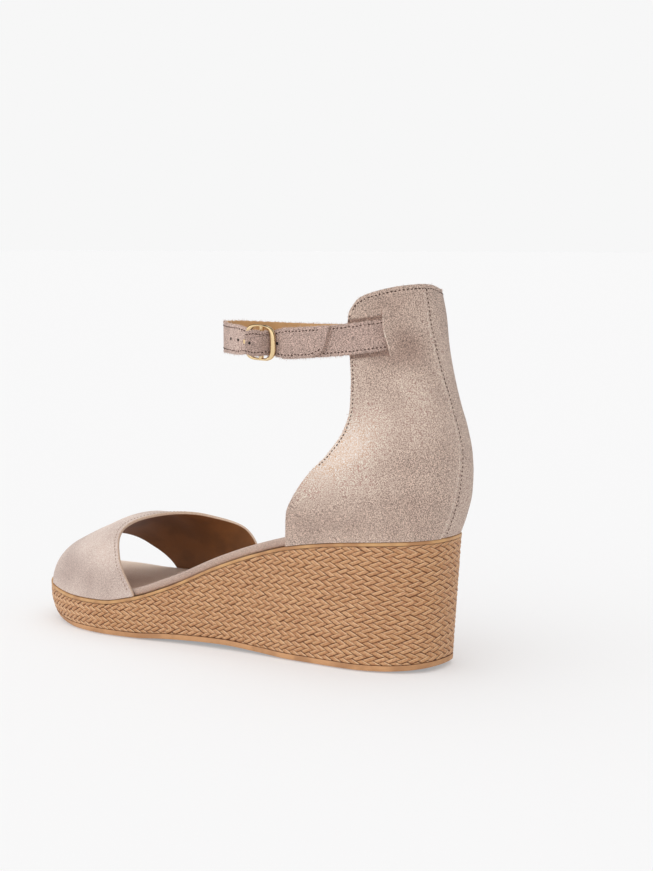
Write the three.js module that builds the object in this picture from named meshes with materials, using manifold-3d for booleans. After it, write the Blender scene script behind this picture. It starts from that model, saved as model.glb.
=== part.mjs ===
// A left platform wedge sandal in suede: closed heel counter with an ankle strap, open-toed vamp,
// suede-covered insole and a one-piece wedge with a smooth rim line and bottom band.
// Millimetres, +Z up, +Y from heel to toe, +X to the medial side.
// The origin is on the floor at the middle of the heel's resting spot.
import * as THREE from "three";
import { mergeVertices } from "three/addons/utils/BufferGeometryUtils.js";
import Module from "manifold-3d";

const wasm = await Module();
wasm.setup();

// Driving dimensions
const soleLength = 246;
const heelWidth = 60;
const waistWidth = 57.2;
const ballWidth = 84;
const heelHeight = 64.2;
const platformHeight = 18;
const toeSpring = 4.2;
const archLift = 2;
const heelBevel = 2;
const heelSpot = 56;

const wedgeFoot = 0.6;
const bandHeight = 2.7;
const rimLine = 1.6;
const weaveDepth = 0.6;
const wallTaper = 5;
const stepSlope = 0.2;
const rimRound = 0.35;

const outsoleThickness = 2.4;
const outsoleInset = 2.6;
const clearance = 0.3;

const upperSeat = 0.4;
const vampWall = 1.8;
const quarterWall = 2;
const insoleHeight = 4.7;
const insoleCup = 0.8;
const seamStep = 0.45;

const vampHeight = 40;
const collarHeight = 183;
const collarWidth = 49;
const counterLength = 75;

const strapWidth = 14.6;
const strapThickness = 1.8;
const strapHeight = 0.8735 * collarHeight;
const strapDroop = 7;
const loopWidth = 57;
const loopFront = 127;
const slitStation = 23;
const slitDepth = 1;

const buckleStation = 87.7;
const tipLength = 38.3;
const ringHeight = 17.2;
const ringLength = 20;
const ringEnd = 2.8;
const ringSide = 1.2;
const ringThickness = 1.8;
const barRadius = 1.1;
const prongWidth = 1.9;
const prongThickness = 1.4;
const ringFullness = 3.6;
const strapPinch = 0.24;
const strapSlack = 2;
const strapStandOff = 0.75;
const strapSkive = 0.8;

// Half widths of the sole at shares of its length, as shares of the heel, waist or ball width.
const outlineRows = [
  { at: 0.012, lateral: 0.208, medial: 0.247, of: heelWidth },
  { at: 0.05, lateral: 0.366, medial: 0.387, of: heelWidth },
  { at: 0.13, lateral: 0.48, medial: 0.477, of: heelWidth },
  { at: 0.28, lateral: 0.508, medial: 0.453, of: heelWidth },
  { at: 0.42, lateral: 0.542, medial: 0.458, of: waistWidth },
  { at: 0.55, lateral: 0.405, medial: 0.355, of: ballWidth },
  { at: 0.66, lateral: 0.463, medial: 0.443, of: ballWidth },
  { at: 0.77, lateral: 0.498, medial: 0.492, of: ballWidth },
  { at: 0.87, lateral: 0.443, medial: 0.481, of: ballWidth },
  { at: 0.945, lateral: 0.334, medial: 0.388, of: ballWidth },
  { at: 0.985, lateral: 0.19, medial: 0.262, of: ballWidth },
];
const toeShift = 0.083 * ballWidth;

// Side profile of the sole: rise of the rim from platform to heel, toe spring, lift of the
// bottom edge at the waist and behind the heel, taper of the wall, how late it tucks under, and
// thickness of the insole.
const sideRows = [
  { at: 0, rise: 1, spring: 0, arch: 0, bevel: 1, taper: 0.8, tuck: 1, pad: 1 },
  { at: 0.05, rise: 0.985, spring: 0, arch: 0, bevel: 0.42, taper: 0.68, tuck: 1, pad: 1 },
  { at: 0.1, rise: 0.968, spring: 0, arch: 0, bevel: 0.1, taper: 0.5, tuck: 1, pad: 1 },
  { at: 0.16, rise: 0.943, spring: 0, arch: 0, bevel: 0, taper: 0.36, tuck: 1, pad: 1 },
  { at: 0.3, rise: 0.831, spring: 0, arch: 0, bevel: 0, taper: 0.3, tuck: 1, pad: 1 },
  { at: 0.38, rise: 0.712, spring: 0, arch: 0.5, bevel: 0, taper: 0.3, tuck: 1, pad: 1 },
  { at: 0.47, rise: 0.535, spring: 0, arch: 1, bevel: 0, taper: 0.3, tuck: 1.1, pad: 1 },
  { at: 0.6, rise: 0.223, spring: 0, arch: 0.62, bevel: 0, taper: 0.3, tuck: 1.3, pad: 0.97 },
  { at: 0.68, rise: 0.078, spring: 0, arch: 0, bevel: 0, taper: 0.34, tuck: 1.6, pad: 0.88 },
  { at: 0.75, rise: 0.009, spring: 0, arch: 0, bevel: 0, taper: 0.42, tuck: 1.8, pad: 0.78 },
  { at: 0.84, rise: 0, spring: 0, arch: 0, bevel: 0, taper: 0.5, tuck: 2.6, pad: 0.72 },
  { at: 0.92, rise: 0, spring: 0.33, arch: 0, bevel: 0, taper: 0.7, tuck: 3, pad: 0.72 },
  { at: 1, rise: 0, spring: 0.9, arch: 0, bevel: 0, taper: 0.9, tuck: 3.5, pad: 0.72 },
];

// Vamp edges at angles across the foot from lateral (0) to medial (1), as shares of the sole length.
const vampEdgeRows = [
  { at: 0, rear: 0.671, front: 0.944 },
  { at: 1 / 6, rear: 0.725, front: 0.938 },
  { at: 2 / 6, rear: 0.758, front: 0.93 },
  { at: 3 / 6, rear: 0.73, front: 0.921 },
  { at: 4 / 6, rear: 0.671, front: 0.91 },
  { at: 5 / 6, rear: 0.59, front: 0.885 },
  { at: 1, rear: 0.542, front: 0.815 },
];
// Height of the vamp over the rim and lean of its crest, as shares of the vamp height.
const vampCrestRows = [
  { at: 0.53, height: 1.04, lean: 0.11 },
  { at: 0.61, height: 0.96, lean: 0.09 },
  { at: 0.69, height: 0.985, lean: 0.072 },
  { at: 0.77, height: 1.005, lean: 0.053 },
  { at: 0.85, height: 0.84, lean: 0.035 },
  { at: 0.93, height: 0.575, lean: 0.019 },
  { at: 1, height: 0.34, lean: 0.002 },
];
const vampFullness = 2.29;

// Heel counter at shares of its height over the rim: setback of its back line and front edge as
// shares of the counter length, and its width from that of the heel (0) to the collar's (1).
const counterRows = [
  { at: 0, back: 0.005, front: 0.996, narrow: 0.07 },
  { at: 0.07, back: -0.035, front: 0.985, narrow: -0.04 },
  { at: 0.17, back: -0.073, front: 0.9, narrow: -0.11 },
  { at: 0.25, back: -0.08, front: 0.797, narrow: -0.09 },
  { at: 0.32, back: -0.073, front: 0.679, narrow: -0.02 },
  { at: 0.43, back: -0.036, front: 0.56, narrow: 0.32 },
  { at: 0.51, back: 0.003, front: 0.53, narrow: 0.56 },
  { at: 0.61, back: 0.04, front: 0.534, narrow: 0.77 },
  { at: 0.76, back: 0.084, front: 0.56, narrow: 0.98 },
  { at: 0.86, back: 0.1, front: 0.576, narrow: 1.08 },
  { at: 1, back: 0.152, front: 0.577, narrow: 0.98 },
];
// Drop of the collar's edge from the back seam (0) to the front corner (1) on each side, as shares
// of the strap width.
const collarRows = [
  { at: 0, lateral: 0, medial: 0 },
  { at: 0.12, lateral: 0.01, medial: 0.03 },
  { at: 0.35, lateral: 0.055, medial: 0.2 },
  { at: 0.52, lateral: 0.13, medial: 0.27 },
  { at: 0.72, lateral: 0.27, medial: 0.36 },
  { at: 0.81, lateral: 0.36, medial: 0.43 },
  { at: 0.89, lateral: 0.5, medial: 0.55 },
  { at: 0.943, lateral: 0.7, medial: 0.72 },
  { at: 0.988, lateral: 0.95, medial: 0.95 },
  { at: 1, lateral: 1.25, medial: 1.25 },
];

// Wander of the back seam to one side of the heel's middle, at shares of the counter's height.
const seamRows = [
  { at: 0, turn: -0.09 },
  { at: 0.23, turn: -0.05 },
  { at: 0.37, turn: -0.01 },
  { at: 0.52, turn: -0.02 },
  { at: 0.66, turn: -0.09 },
  { at: 0.77, turn: -0.14 },
  { at: 0.86, turn: -0.19 },
  { at: 1, turn: -0.17 },
];

// Inner line of the ankle loop in plan, from the lateral slit round the front to the medial one:
// across as shares of half the loop width, along as shares of the way from slit to front, and
// down as shares of the droop.
const loopRows = [
  { across: -0.945, along: 0.3, down: 0.56 },
  { across: -0.985, along: 0.42, down: 0.7 },
  { across: -1, along: 0.54, down: 0.78 },
  { across: -0.96, along: 0.7, down: 0.74 },
  { across: -0.8, along: 0.85, down: 0.66 },
  { across: -0.45, along: 0.965, down: 0.6 },
  { across: 0, along: 1, down: 0.62 },
  { across: 0.45, along: 0.965, down: 0.72 },
  { across: 0.8, along: 0.85, down: 0.83 },
  { across: 0.96, along: 0.7, down: 0.88 },
  { across: 1, along: 0.54, down: 0.84 },
  { across: 0.985, along: 0.42, down: 0.74 },
  { across: 0.945, along: 0.3, down: 0.58 },
];
// Rise of the long strap over the centre bar (1) and its pinch inside the ring, at shares of
// half the ring's length from the bar.
const overBarRows = [
  { at: -3, rise: 0, pinch: 0 },
  { at: -1.4, rise: 0, pinch: 0 },
  { at: -1, rise: 0, pinch: 0.4 },
  { at: -0.6, rise: 0.05, pinch: 0.9 },
  { at: -0.48, rise: 0.45, pinch: 0.9 },
  { at: -0.34, rise: 0.92, pinch: 0.75 },
  { at: -0.1, rise: 1, pinch: 0.6 },
  { at: 0.24, rise: 1, pinch: 0.9 },
  { at: 0.36, rise: 0.96, pinch: 1 },
  { at: 0.43, rise: 0.78, pinch: 1 },
  { at: 0.49, rise: 0.36, pinch: 1 },
  { at: 0.55, rise: 0.06, pinch: 1 },
  { at: 0.64, rise: 0, pinch: 1 },
  { at: 1.2, rise: 0, pinch: 0.5 },
  { at: 1.8, rise: 0, pinch: 0 },
];
// Lift of the ring over the level of its bar, so that its rear end passes over two straps.
const ringRows = [
  { at: -1, lift: 1 },
  { at: -0.7, lift: 1 },
  { at: 0, lift: 0 },
  { at: 0.7, lift: 0.12 },
  { at: 1, lift: 0.12 },
];
// Cut of the free tip: how far its lower edge is trimmed away, at distances from the tip, both
// as shares of the strap width.
const tipRows = [
  { at: 0, trim: 0.92 },
  { at: 0.33, trim: 0.18 },
  { at: 0.76, trim: 0 },
];

// Smooth value of one column of a table at a place between its rows, level at its high and low rows.
function look(rows, column, at) {
  const last = rows.length - 1;
  const x = Math.min(Math.max(at, rows[0].at), rows[last].at);
  let i = 0;
  while (i < last - 1 && x >= rows[i + 1].at) i += 1;
  const slope = (k) => (rows[k + 1][column] - rows[k][column]) / (rows[k + 1].at - rows[k].at);
  const tangent = (k) => {
    if (k === 0) return slope(0);
    if (k === last) return slope(last - 1);
    if (slope(k - 1) * slope(k) <= 0) return 0;
    const before = rows[k].at - rows[k - 1].at;
    const after = rows[k + 1].at - rows[k].at;
    const first = 2 * after + before;
    const second = after + 2 * before;
    return (first + second) / (first / slope(k - 1) + second / slope(k));
  };
  const span = rows[i + 1].at - rows[i].at;
  const t = (x - rows[i].at) / span;
  return (
    (2 * t ** 3 - 3 * t ** 2 + 1) * rows[i][column] +
    (t ** 3 - 2 * t ** 2 + t) * span * tangent(i) +
    (3 * t ** 2 - 2 * t ** 3) * rows[i + 1][column] +
    (t ** 3 - t ** 2) * span * tangent(i + 1)
  );
}

// The rim outline as a closed curve through the table's points, split at the heel and the toe.
const outlinePoints = [
  new THREE.Vector3(0, 0, 0),
  ...outlineRows.map((row) => new THREE.Vector3(-row.lateral * row.of, row.at * soleLength, 0)),
  new THREE.Vector3(toeShift, soleLength, 0),
  ...outlineRows.map((row) => new THREE.Vector3(row.medial * row.of, row.at * soleLength, 0)).reverse(),
];
const outlineCurve = new THREE.CatmullRomCurve3(outlinePoints, true, "centripetal");
const outlineSamples = outlineCurve.getPoints(40 * outlinePoints.length);
const toeIndex = outlineSamples.reduce((best, p, i) => (p.y > outlineSamples[best].y ? i : best), 0);
const heelIndex = outlineSamples.reduce((best, p, i) => (p.y < outlineSamples[best].y ? i : best), 0);
const turn = (from, to) => {
  const side = [];
  const count = outlineSamples.length - 1;
  for (let i = from; i !== to; i = (i + 1) % count) side.push(outlineSamples[i]);
  side.push(outlineSamples[to]);
  return side;
};
const lateralSide = turn(heelIndex % (outlineSamples.length - 1), toeIndex);
const medialSide = turn(toeIndex, heelIndex % (outlineSamples.length - 1)).reverse();
const heelEnd = outlineSamples[heelIndex].y;
const toeEnd = outlineSamples[toeIndex].y;

// Edge of the rim at a station on one side of the shoe, -1 lateral and 1 medial.
function edge(station, side) {
  const line = side < 0 ? lateralSide : medialSide;
  let low = 0;
  let high = line.length - 1;
  while (high - low > 1) {
    const middle = (low + high) >> 1;
    if (line[middle].y <= station) low = middle;
    else high = middle;
  }
  const share = (station - line[low].y) / Math.max(line[high].y - line[low].y, 1e-9);
  return THREE.MathUtils.lerp(line[low].x, line[high].x, THREE.MathUtils.clamp(share, 0, 1));
}

const side = (column, station) => look(sideRows, column, station / soleLength);
const rimHeight = (y) =>
  platformHeight + (heelHeight - platformHeight) * side("rise", y) + toeSpring * side("spring", y);
const soleBottom = (y) =>
  archLift * side("arch", y) + heelBevel * side("bevel", y) + toeSpring * side("spring", y);

// A ring of points round the sole, heel point first, lateral side to the toe and medial side back.
// Each point keeps its own station, its outline point and the inward direction there.
function soleRing(count) {
  const ring = [];
  const middle = (heelEnd + toeEnd) / 2;
  const reach = (toeEnd - heelEnd) / 2;
  for (let i = 0; i < 2 * count; i += 1) {
    const station = middle - reach * Math.cos((Math.PI * i) / count);
    const way = i <= count ? -1 : 1;
    const ends = i % count === 0;
    const end = i === 0 ? lateralSide[0] : lateralSide[lateralSide.length - 1];
    const x = ends ? end.x : edge(station, way);
    ring.push({ x, y: station });
  }
  return ring.map((point, i) => {
    const before = ring[(i + ring.length - 1) % ring.length];
    const after = ring[(i + 1) % ring.length];
    const along = new THREE.Vector2(after.x - before.x, after.y - before.y).normalize();
    return { ...point, inward: new THREE.Vector2(along.y, -along.x) };
  });
}

const inset = (point, distance, z) =>
  new THREE.Vector3(
    point.x + point.inward.x * distance,
    point.y + point.inward.y * distance,
    z,
  );

// A closed mesh from rings of equal length, with both ends closed by strips across the shoe.
function loft(rings) {
  const count = rings[0].length;
  const vertices = rings.flat();
  const faces = [];
  for (let r = 0; r < rings.length - 1; r += 1) {
    for (let i = 0; i < count; i += 1) {
      const a = r * count + i;
      const b = r * count + ((i + 1) % count);
      faces.push(a, a + count, b, b, a + count, b + count);
    }
  }
  const strip = (start, flip) => {
    const half = count / 2;
    for (let i = 0; i < half; i += 1) {
      const a = start + i;
      const b = start + i + 1;
      const c = start + ((count - i) % count);
      const d = start + count - i - 1;
      const quad = i === 0 ? [a, b, d] : i === half - 1 ? [a, b, c] : [a, b, c, b, d, c];
      faces.push(...(flip ? quad.reverse() : quad));
    }
  };
  strip(0, false);
  strip((rings.length - 1) * count, true);
  return meshOf(vertices, faces);
}

function meshOf(vertices, faces) {
  const geometry = new THREE.BufferGeometry();
  geometry.setAttribute(
    "position",
    new THREE.Float32BufferAttribute(vertices.flatMap((v) => [v.x, v.y, v.z]), 3),
  );
  geometry.setIndex(faces);
  return geometry;
}

// A closed wall between two grids of the same size, row by row.
function wallBetween(outer, inner) {
  const rows = outer.length;
  const columns = outer[0].length;
  const vertices = [...outer.flat(), ...inner.flat()];
  const under = rows * columns;
  const faces = [];
  const at = (r, c) => r * columns + c;
  const quad = (a, b, c, d) => faces.push(a, b, c, a, c, d);
  for (let r = 0; r < rows - 1; r += 1) {
    for (let c = 0; c < columns - 1; c += 1) {
      quad(at(r, c), at(r, c + 1), at(r + 1, c + 1), at(r + 1, c));
      quad(under + at(r, c), under + at(r + 1, c), under + at(r + 1, c + 1), under + at(r, c + 1));
    }
  }
  for (let c = 0; c < columns - 1; c += 1) {
    quad(under + at(0, c), under + at(0, c + 1), at(0, c + 1), at(0, c));
    const r = rows - 1;
    quad(at(r, c), at(r, c + 1), under + at(r, c + 1), under + at(r, c));
  }
  for (let r = 0; r < rows - 1; r += 1) {
    quad(at(r, 0), at(r + 1, 0), under + at(r + 1, 0), under + at(r, 0));
    const c = columns - 1;
    quad(under + at(r, c), under + at(r + 1, c), at(r + 1, c), at(r, c));
  }
  return meshOf(vertices, faces);
}

// The same grid moved along its own normals, which point out where rows go up and columns run
// from the lateral side round to the medial side.
function shifted(grid, distance) {
  const rows = grid.length;
  const columns = grid[0].length;
  return grid.map((row, r) =>
    row.map((point, c) => {
      const along = row[Math.min(c + 1, columns - 1)].clone().sub(row[Math.max(c - 1, 0)]);
      const up = grid[Math.min(r + 1, rows - 1)][c].clone().sub(grid[Math.max(r - 1, 0)][c]);
      const normal = along.cross(up).normalize();
      return point.clone().addScaledVector(normal, distance);
    }),
  );
}

function solidOf(geometry) {
  const plain = geometry.clone();
  plain.deleteAttribute("normal");
  plain.deleteAttribute("uv");
  const merged = mergeVertices(plain, 1e-4);
  return new wasm.Manifold(
    new wasm.Mesh({
      numProp: 3,
      vertProperties: new Float32Array(merged.attributes.position.array),
      triVerts: new Uint32Array(merged.index.array),
    }),
  );
}

function geometryOf(solid) {
  const mesh = solid.getMesh();
  const geometry = new THREE.BufferGeometry();
  geometry.setAttribute("position", new THREE.BufferAttribute(new Float32Array(mesh.vertProperties), 3));
  geometry.setIndex(new THREE.BufferAttribute(new Uint32Array(mesh.triVerts), 1));
  return geometry;
}

// Outsole: a sheet let into the wedge, flat under heel and ball.
const taperAt = (y) => wallTaper * side("taper", y);
function outsole() {
  const ring = soleRing(48);
  const level = (extra, lift) =>
    ring.map((p) => inset(p, taperAt(p.y) + outsoleInset + extra, soleBottom(p.y) + lift));
  return loft([level(clearance, 0), level(0, clearance), level(0, outsoleThickness)]);
}

// Wedge: bottom lip, smooth band, recessed woven face and smooth rim line.
function wedge() {
  const ring = soleRing(48);
  const foot = (p) => soleBottom(p.y) + wedgeFoot;
  const wall = (p, z) => {
    const share = THREE.MathUtils.clamp((z - foot(p)) / (rimHeight(p.y) - foot(p)), 0, 1);
    return taperAt(p.y) * (1 - share) ** side("tuck", p.y);
  };
  const level = (height, extra) => ring.map((p) => inset(p, wall(p, height(p)) + extra, height(p)));
  const recess = (height) =>
    ring.map((p) => inset(p, taperAt(p.y) + outsoleInset - clearance, height(p)));
  const bandTop = (p) => foot(p) + bandHeight;
  const rimFoot = (p) => rimHeight(p.y) - rimLine;
  const face = (share) => (p) => THREE.MathUtils.lerp(bandTop(p), rimFoot(p), share);
  return loft([
    recess((p) => soleBottom(p.y) + outsoleThickness + clearance),
    recess(foot),
    level(foot, rimRound),
    level((p) => foot(p) + rimRound, 0),
    level(bandTop, 0),
    level((p) => bandTop(p) + stepSlope, weaveDepth),
    ...[0.25, 0.5, 0.75].map((share) => level(face(share), weaveDepth)),
    level((p) => rimFoot(p) - stepSlope, weaveDepth),
    level(rimFoot, 0),
    level((p) => rimHeight(p.y) - rimRound, 0),
    level((p) => rimHeight(p.y), rimRound),
  ]);
}

// Insole: a cupped footbed inside the upper's wall.
const insoleInset = upperSeat + quarterWall + 2 * clearance;
function insole() {
  const ring = soleRing(40);
  const soft = 1.2;
  const low = (extra, lift) => ring.map((p) => inset(p, insoleInset + extra, rimHeight(p.y) + lift));
  const high = (extra, drop) =>
    ring.map((p) => {
      const top = rimHeight(p.y) + insoleHeight * side("pad", p.y);
      return inset(p, insoleInset + extra, top - drop);
    });
  return loft([
    low(soft / 2, clearance),
    low(0, clearance + soft),
    high(0, soft),
    high(soft / 2, soft / 4),
    high(soft * 1.5, 0),
    high(soft * 10, insoleCup),
  ]);
}

// Vamp: an arched band from rim to rim, open at the toe.
function vampPoint(station, share) {
  const left = edge(station, -1) + upperSeat;
  const right = edge(station, 1) - upperSeat;
  const angle = Math.PI * share;
  const power = 2 / vampFullness;
  const across = -Math.sign(Math.cos(angle)) * Math.abs(Math.cos(angle)) ** power;
  const rise = Math.max(Math.sin(angle), 0) ** power;
  const crest = (column) => vampHeight * look(vampCrestRows, column, station / soleLength);
  return new THREE.Vector3(
    (left + right) / 2 + ((right - left) / 2) * across + crest("lean") * rise,
    station,
    rimHeight(station) + clearance + crest("height") * rise,
  );
}
function vamp() {
  const columns = 36;
  const rows = 13;
  const outer = [];
  for (let r = 0; r <= rows; r += 1) {
    const row = [];
    for (let c = 0; c <= columns; c += 1) {
      const share = c / columns;
      const rear = soleLength * look(vampEdgeRows, "rear", share);
      const front = soleLength * look(vampEdgeRows, "front", share);
      row.push(vampPoint(THREE.MathUtils.lerp(rear, front, r / rows), share));
    }
    outer.push(row);
  }
  const inner = shifted(outer, -vampWall);
  inner.forEach((row, r) => {
    row[0].z = outer[r][0].z;
    row[columns].z = outer[r][columns].z;
  });
  return wallBetween(outer, inner);
}

// Heel counter, from its lateral front edge (-1) round the back (0) to its medial one (1).
const counterShare = (z) => (z - heelHeight) / (collarHeight - heelHeight);
function counterPoint(turnShare, z) {
  const share = THREE.MathUtils.clamp(counterShare(z), 0, 1);
  const back = counterLength * look(counterRows, "back", share);
  const front = counterLength * look(counterRows, "front", share);
  const width = THREE.MathUtils.lerp(heelWidth, collarWidth, look(counterRows, "narrow", share));
  const behind = (front - back) * turnShare ** 2;
  const x = turnShare === 0 ? 0 : edge(heelEnd + behind, Math.sign(turnShare));
  return new THREE.Vector3((x * width) / heelWidth, back + behind, z);
}
const lapShare = 0.02;
function quarter() {
  const half = 14;
  const rows = 19;
  const turns = [];
  for (let i = half; i > 0; i -= 1) turns.push(-Math.sin((Math.PI * i) / (2 * half)));
  turns.push(-lapShare, 0);
  for (let i = 1; i <= half; i += 1) turns.push(Math.sin((Math.PI * i) / (2 * half)));
  const grid = [];
  for (let r = 0; r <= rows; r += 1) {
    const seam = look(seamRows, "turn", r / rows);
    grid.push(
      turns.map((turnShare) => {
        const bent = turnShare + seam * (1 - turnShare ** 2);
        const seat = rimHeight(counterPoint(bent, heelHeight).y) + clearance;
        const drop = look(collarRows, turnShare < 0 ? "lateral" : "medial", Math.abs(turnShare));
        const top = collarHeight - strapWidth * drop;
        return counterPoint(bent, THREE.MathUtils.lerp(seat, top, r / rows));
      }),
    );
  }
  const lapped = shifted(grid, seamStep);
  const outer = grid.map((row, r) => row.map((p, c) => (turns[c] < 0 ? lapped[r][c] : p)));
  const inner = shifted(grid, -quarterWall);
  inner[0].forEach((p, c) => {
    p.z = grid[0][c].z;
  });
  return solidOf(wallBetween(outer, inner));
}

// Inner line of the ankle strap: along the counter from the lateral slit, round, and back.
function counterAt(station, z, way) {
  const share = counterShare(z);
  const back = counterLength * look(counterRows, "back", share);
  const front = counterLength * look(counterRows, "front", share);
  const turnShare = Math.sqrt(Math.min((station - back) / (front - back), 1));
  return counterPoint(way * turnShare, z);
}
const loopHeight = (down) => strapHeight - strapDroop * down;
const besideCounter = [0, 0.05, 0.1, 0.145, 0.185].map((along) => ({ along, down: along * 2.1 }));
const loopLine = (along) => THREE.MathUtils.lerp(slitStation, loopFront, along);
function besidePoint({ along, down }, way) {
  const z = loopHeight(down);
  const wall = counterAt(loopLine(along), z, way);
  const lap = way < 0 ? seamStep : 0;
  return new THREE.Vector3(wall.x + way * (strapStandOff + lap), loopLine(along), z);
}
const loopCurve = new THREE.CatmullRomCurve3(
  [
    ...besideCounter.map((place) => besidePoint(place, -1)),
    ...loopRows.map(
      (row) =>
        new THREE.Vector3((row.across * loopWidth) / 2, loopLine(row.along), loopHeight(row.down)),
    ),
    ...besideCounter.map((place) => besidePoint(place, 1)).reverse(),
  ],
  false,
  "centripetal",
);
loopCurve.arcLengthDivisions = 600;
const loopLength = loopCurve.getLength();

// A place by its distance along the loop, out from its inner line and up the strap's width.
function onLoop(along, out, up) {
  const share = THREE.MathUtils.clamp(along / loopLength, 0, 1);
  const point = loopCurve.getPointAt(share);
  const ahead = loopCurve.getTangentAt(share);
  const outward = new THREE.Vector3(-ahead.y, ahead.x, 0).normalize();
  const upward = ahead.clone().cross(outward).normalize();
  return point
    .addScaledVector(ahead, along - share * loopLength)
    .addScaledVector(outward, out)
    .addScaledVector(upward, up);
}
function loopDistance(station) {
  let along = 0;
  while (onLoop(along, 0, 0).y < station) along += 0.25;
  return along;
}
const barAlong = loopDistance(buckleStation);
const foldRadius = barRadius + clearance + strapThickness / 2;
const barOut = strapThickness / 2 + foldRadius;
const halfRing = ringLength / 2;

// A closed tube from rings that are in order; the ends are closed unless the tube is a hoop.
function tube(rings, hoop) {
  const count = rings[0].length;
  const vertices = rings.flat();
  const faces = [];
  const total = rings.length;
  for (let r = 0; r < (hoop ? total : total - 1); r += 1) {
    for (let i = 0; i < count; i += 1) {
      const a = r * count + i;
      const b = r * count + ((i + 1) % count);
      const c = ((r + 1) % total) * count + i;
      const d = ((r + 1) % total) * count + ((i + 1) % count);
      faces.push(a, b, c, b, d, c);
    }
  }
  for (let i = 1; !hoop && i < count - 1; i += 1) {
    const end = (total - 1) * count;
    faces.push(0, i + 1, i, end, end + i, end + i + 1);
  }
  return outwards(vertices, faces);
}
function outwards(vertices, faces) {
  let volume = 0;
  for (let i = 0; i < faces.length; i += 3) {
    const [a, b, c] = [vertices[faces[i]], vertices[faces[i + 1]], vertices[faces[i + 2]]];
    volume += a.dot(b.clone().cross(c));
  }
  return meshOf(vertices, volume < 0 ? faces.reverse() : faces);
}

// A strap along a path of places on the loop, each with its own thickness and lower edge. Grown
// by a margin, it is the room that the strap takes in another piece.
function strap(path, margin) {
  const chamfer = strapThickness / 5;
  const rings = path.map((place, i) => {
    const before = path[Math.max(i - 1, 0)];
    const after = path[Math.min(i + 1, path.length - 1)];
    const run = new THREE.Vector2(after.along - before.along, after.out - before.out).normalize();
    const stretch = margin * (i === 0 ? -1 : i === path.length - 1 ? 1 : 0);
    const half = place.thick / 2 + margin;
    const high = (strapWidth / 2) * (1 - strapPinch * place.pinch) + margin;
    const low = -high + place.trim;
    const corner = ([side, up]) =>
      onLoop(
        place.along + run.x * stretch - run.y * side,
        place.out + run.y * stretch + run.x * side,
        up,
      );
    return [
      [half, low + chamfer],
      [half, high - chamfer],
      [half - chamfer, high],
      [chamfer - half, high],
      [-half, high - chamfer],
      [-half, low + chamfer],
      [chamfer - half, low],
      [half - chamfer, low],
    ].map(corner);
  });
  return solidOf(tube(rings, false));
}

// The strap's end by its distance from the slit: skived and let into the counter's wall.
const slitRows = [
  { at: 0, out: -1, thick: 1 },
  { at: 0.2, out: -0.75, thick: 0.8 },
  { at: 0.6, out: 0, thick: 0 },
];
const slitEnd = (distance) => {
  const at = distance / strapWidth;
  const sunk = strapStandOff + slitDepth / 2 + strapThickness / 2;
  return {
    out: strapThickness / 2 + sunk * look(slitRows, "out", at),
    thick: strapThickness - strapSkive * look(slitRows, "thick", at),
  };
};
const steps = (from, to, step) => {
  const count = Math.max(Math.round(Math.abs(to - from) / step), 1);
  return Array.from({ length: count + 1 }, (_, i) => from + ((to - from) * i) / count);
};

function buckleStrapPath() {
  const path = steps(0, barAlong - 1, 3).map((along) => ({
    along,
    ...slitEnd(along),
    pinch: along > barAlong - halfRing ? 0.9 : 0,
    trim: 0,
  }));
  for (let degrees = 0; degrees <= 200; degrees += 20) {
    const angle = THREE.MathUtils.degToRad(degrees);
    path.push({
      along: barAlong + foldRadius * Math.sin(angle),
      out: barOut - foldRadius * Math.cos(angle),
      thick: strapThickness,
      pinch: 1,
      trim: 0,
    });
  }
  return path;
}

function ankleStrapPath() {
  const over = 1.5 * strapThickness + clearance;
  const crest = barOut + barRadius + 2 * clearance + 1.5 * strapThickness + strapSlack;
  const tip = barAlong - tipLength;
  const places = [
    ...steps(tip, barAlong - halfRing, 2.5),
    ...steps(barAlong - halfRing, barAlong + halfRing, 1.2).slice(1),
    ...steps(barAlong + halfRing, loopLength, 4).slice(1),
  ];
  return places.map((along) => {
    const at = (along - barAlong) / halfRing;
    const end = slitEnd(loopLength - along);
    const level = along < barAlong ? over : end.out;
    const trim = strapWidth * look(tipRows, "trim", (along - tip) / strapWidth);
    return {
      along,
      out: level + (crest - level) * look(overBarRows, "rise", at),
      thick: end.thick,
      pinch: look(overBarRows, "pinch", at),
      trim: along - tip < strapWidth ? trim : 0,
    };
  });
}

// Buckle: an oval ring that follows the ankle's curve, with a bar across its middle.
const oval = (angle, halfLength, halfHeight) => {
  const bend = (v) => Math.sign(v) * Math.abs(v) ** (2 / ringFullness);
  return [halfLength * bend(Math.cos(angle)), halfHeight * bend(Math.sin(angle))];
};
function buckleFrame() {
  const lift = strapThickness + 2 * clearance;
  const soft = ringThickness / 4;
  const rings = [];
  const count = 38;
  for (let i = 0; i < count; i += 1) {
    const angle = (2 * Math.PI * i) / count;
    const spot = (grow, out) => {
      const [along, up] = oval(
        angle,
        halfRing - ringEnd + ringEnd * grow,
        ringHeight / 2 - ringSide + ringSide * grow,
      );
      const level = barOut + lift * look(ringRows, "lift", along / halfRing);
      return onLoop(barAlong + along, level + out, up);
    };
    const half = ringThickness / 2;
    rings.push([
      spot(0, soft - half),
      spot(0.2, -half),
      spot(0.8, -half),
      spot(1, soft - half),
      spot(1, half - soft),
      spot(0.75, half),
      spot(0.25, half),
      spot(0, half - soft),
    ]);
  }
  const bar = [-1, 1].map((end) =>
    Array.from({ length: 12 }, (_, i) => {
      const angle = (Math.PI * i) / 6;
      return onLoop(
        barAlong + barRadius * Math.cos(angle),
        barOut + barRadius * Math.sin(angle),
        end * (ringHeight / 2 - ringSide / 2),
      );
    }),
  );
  return solidOf(tube(rings, true)).add(solidOf(tube(bar, false)));
}

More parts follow.
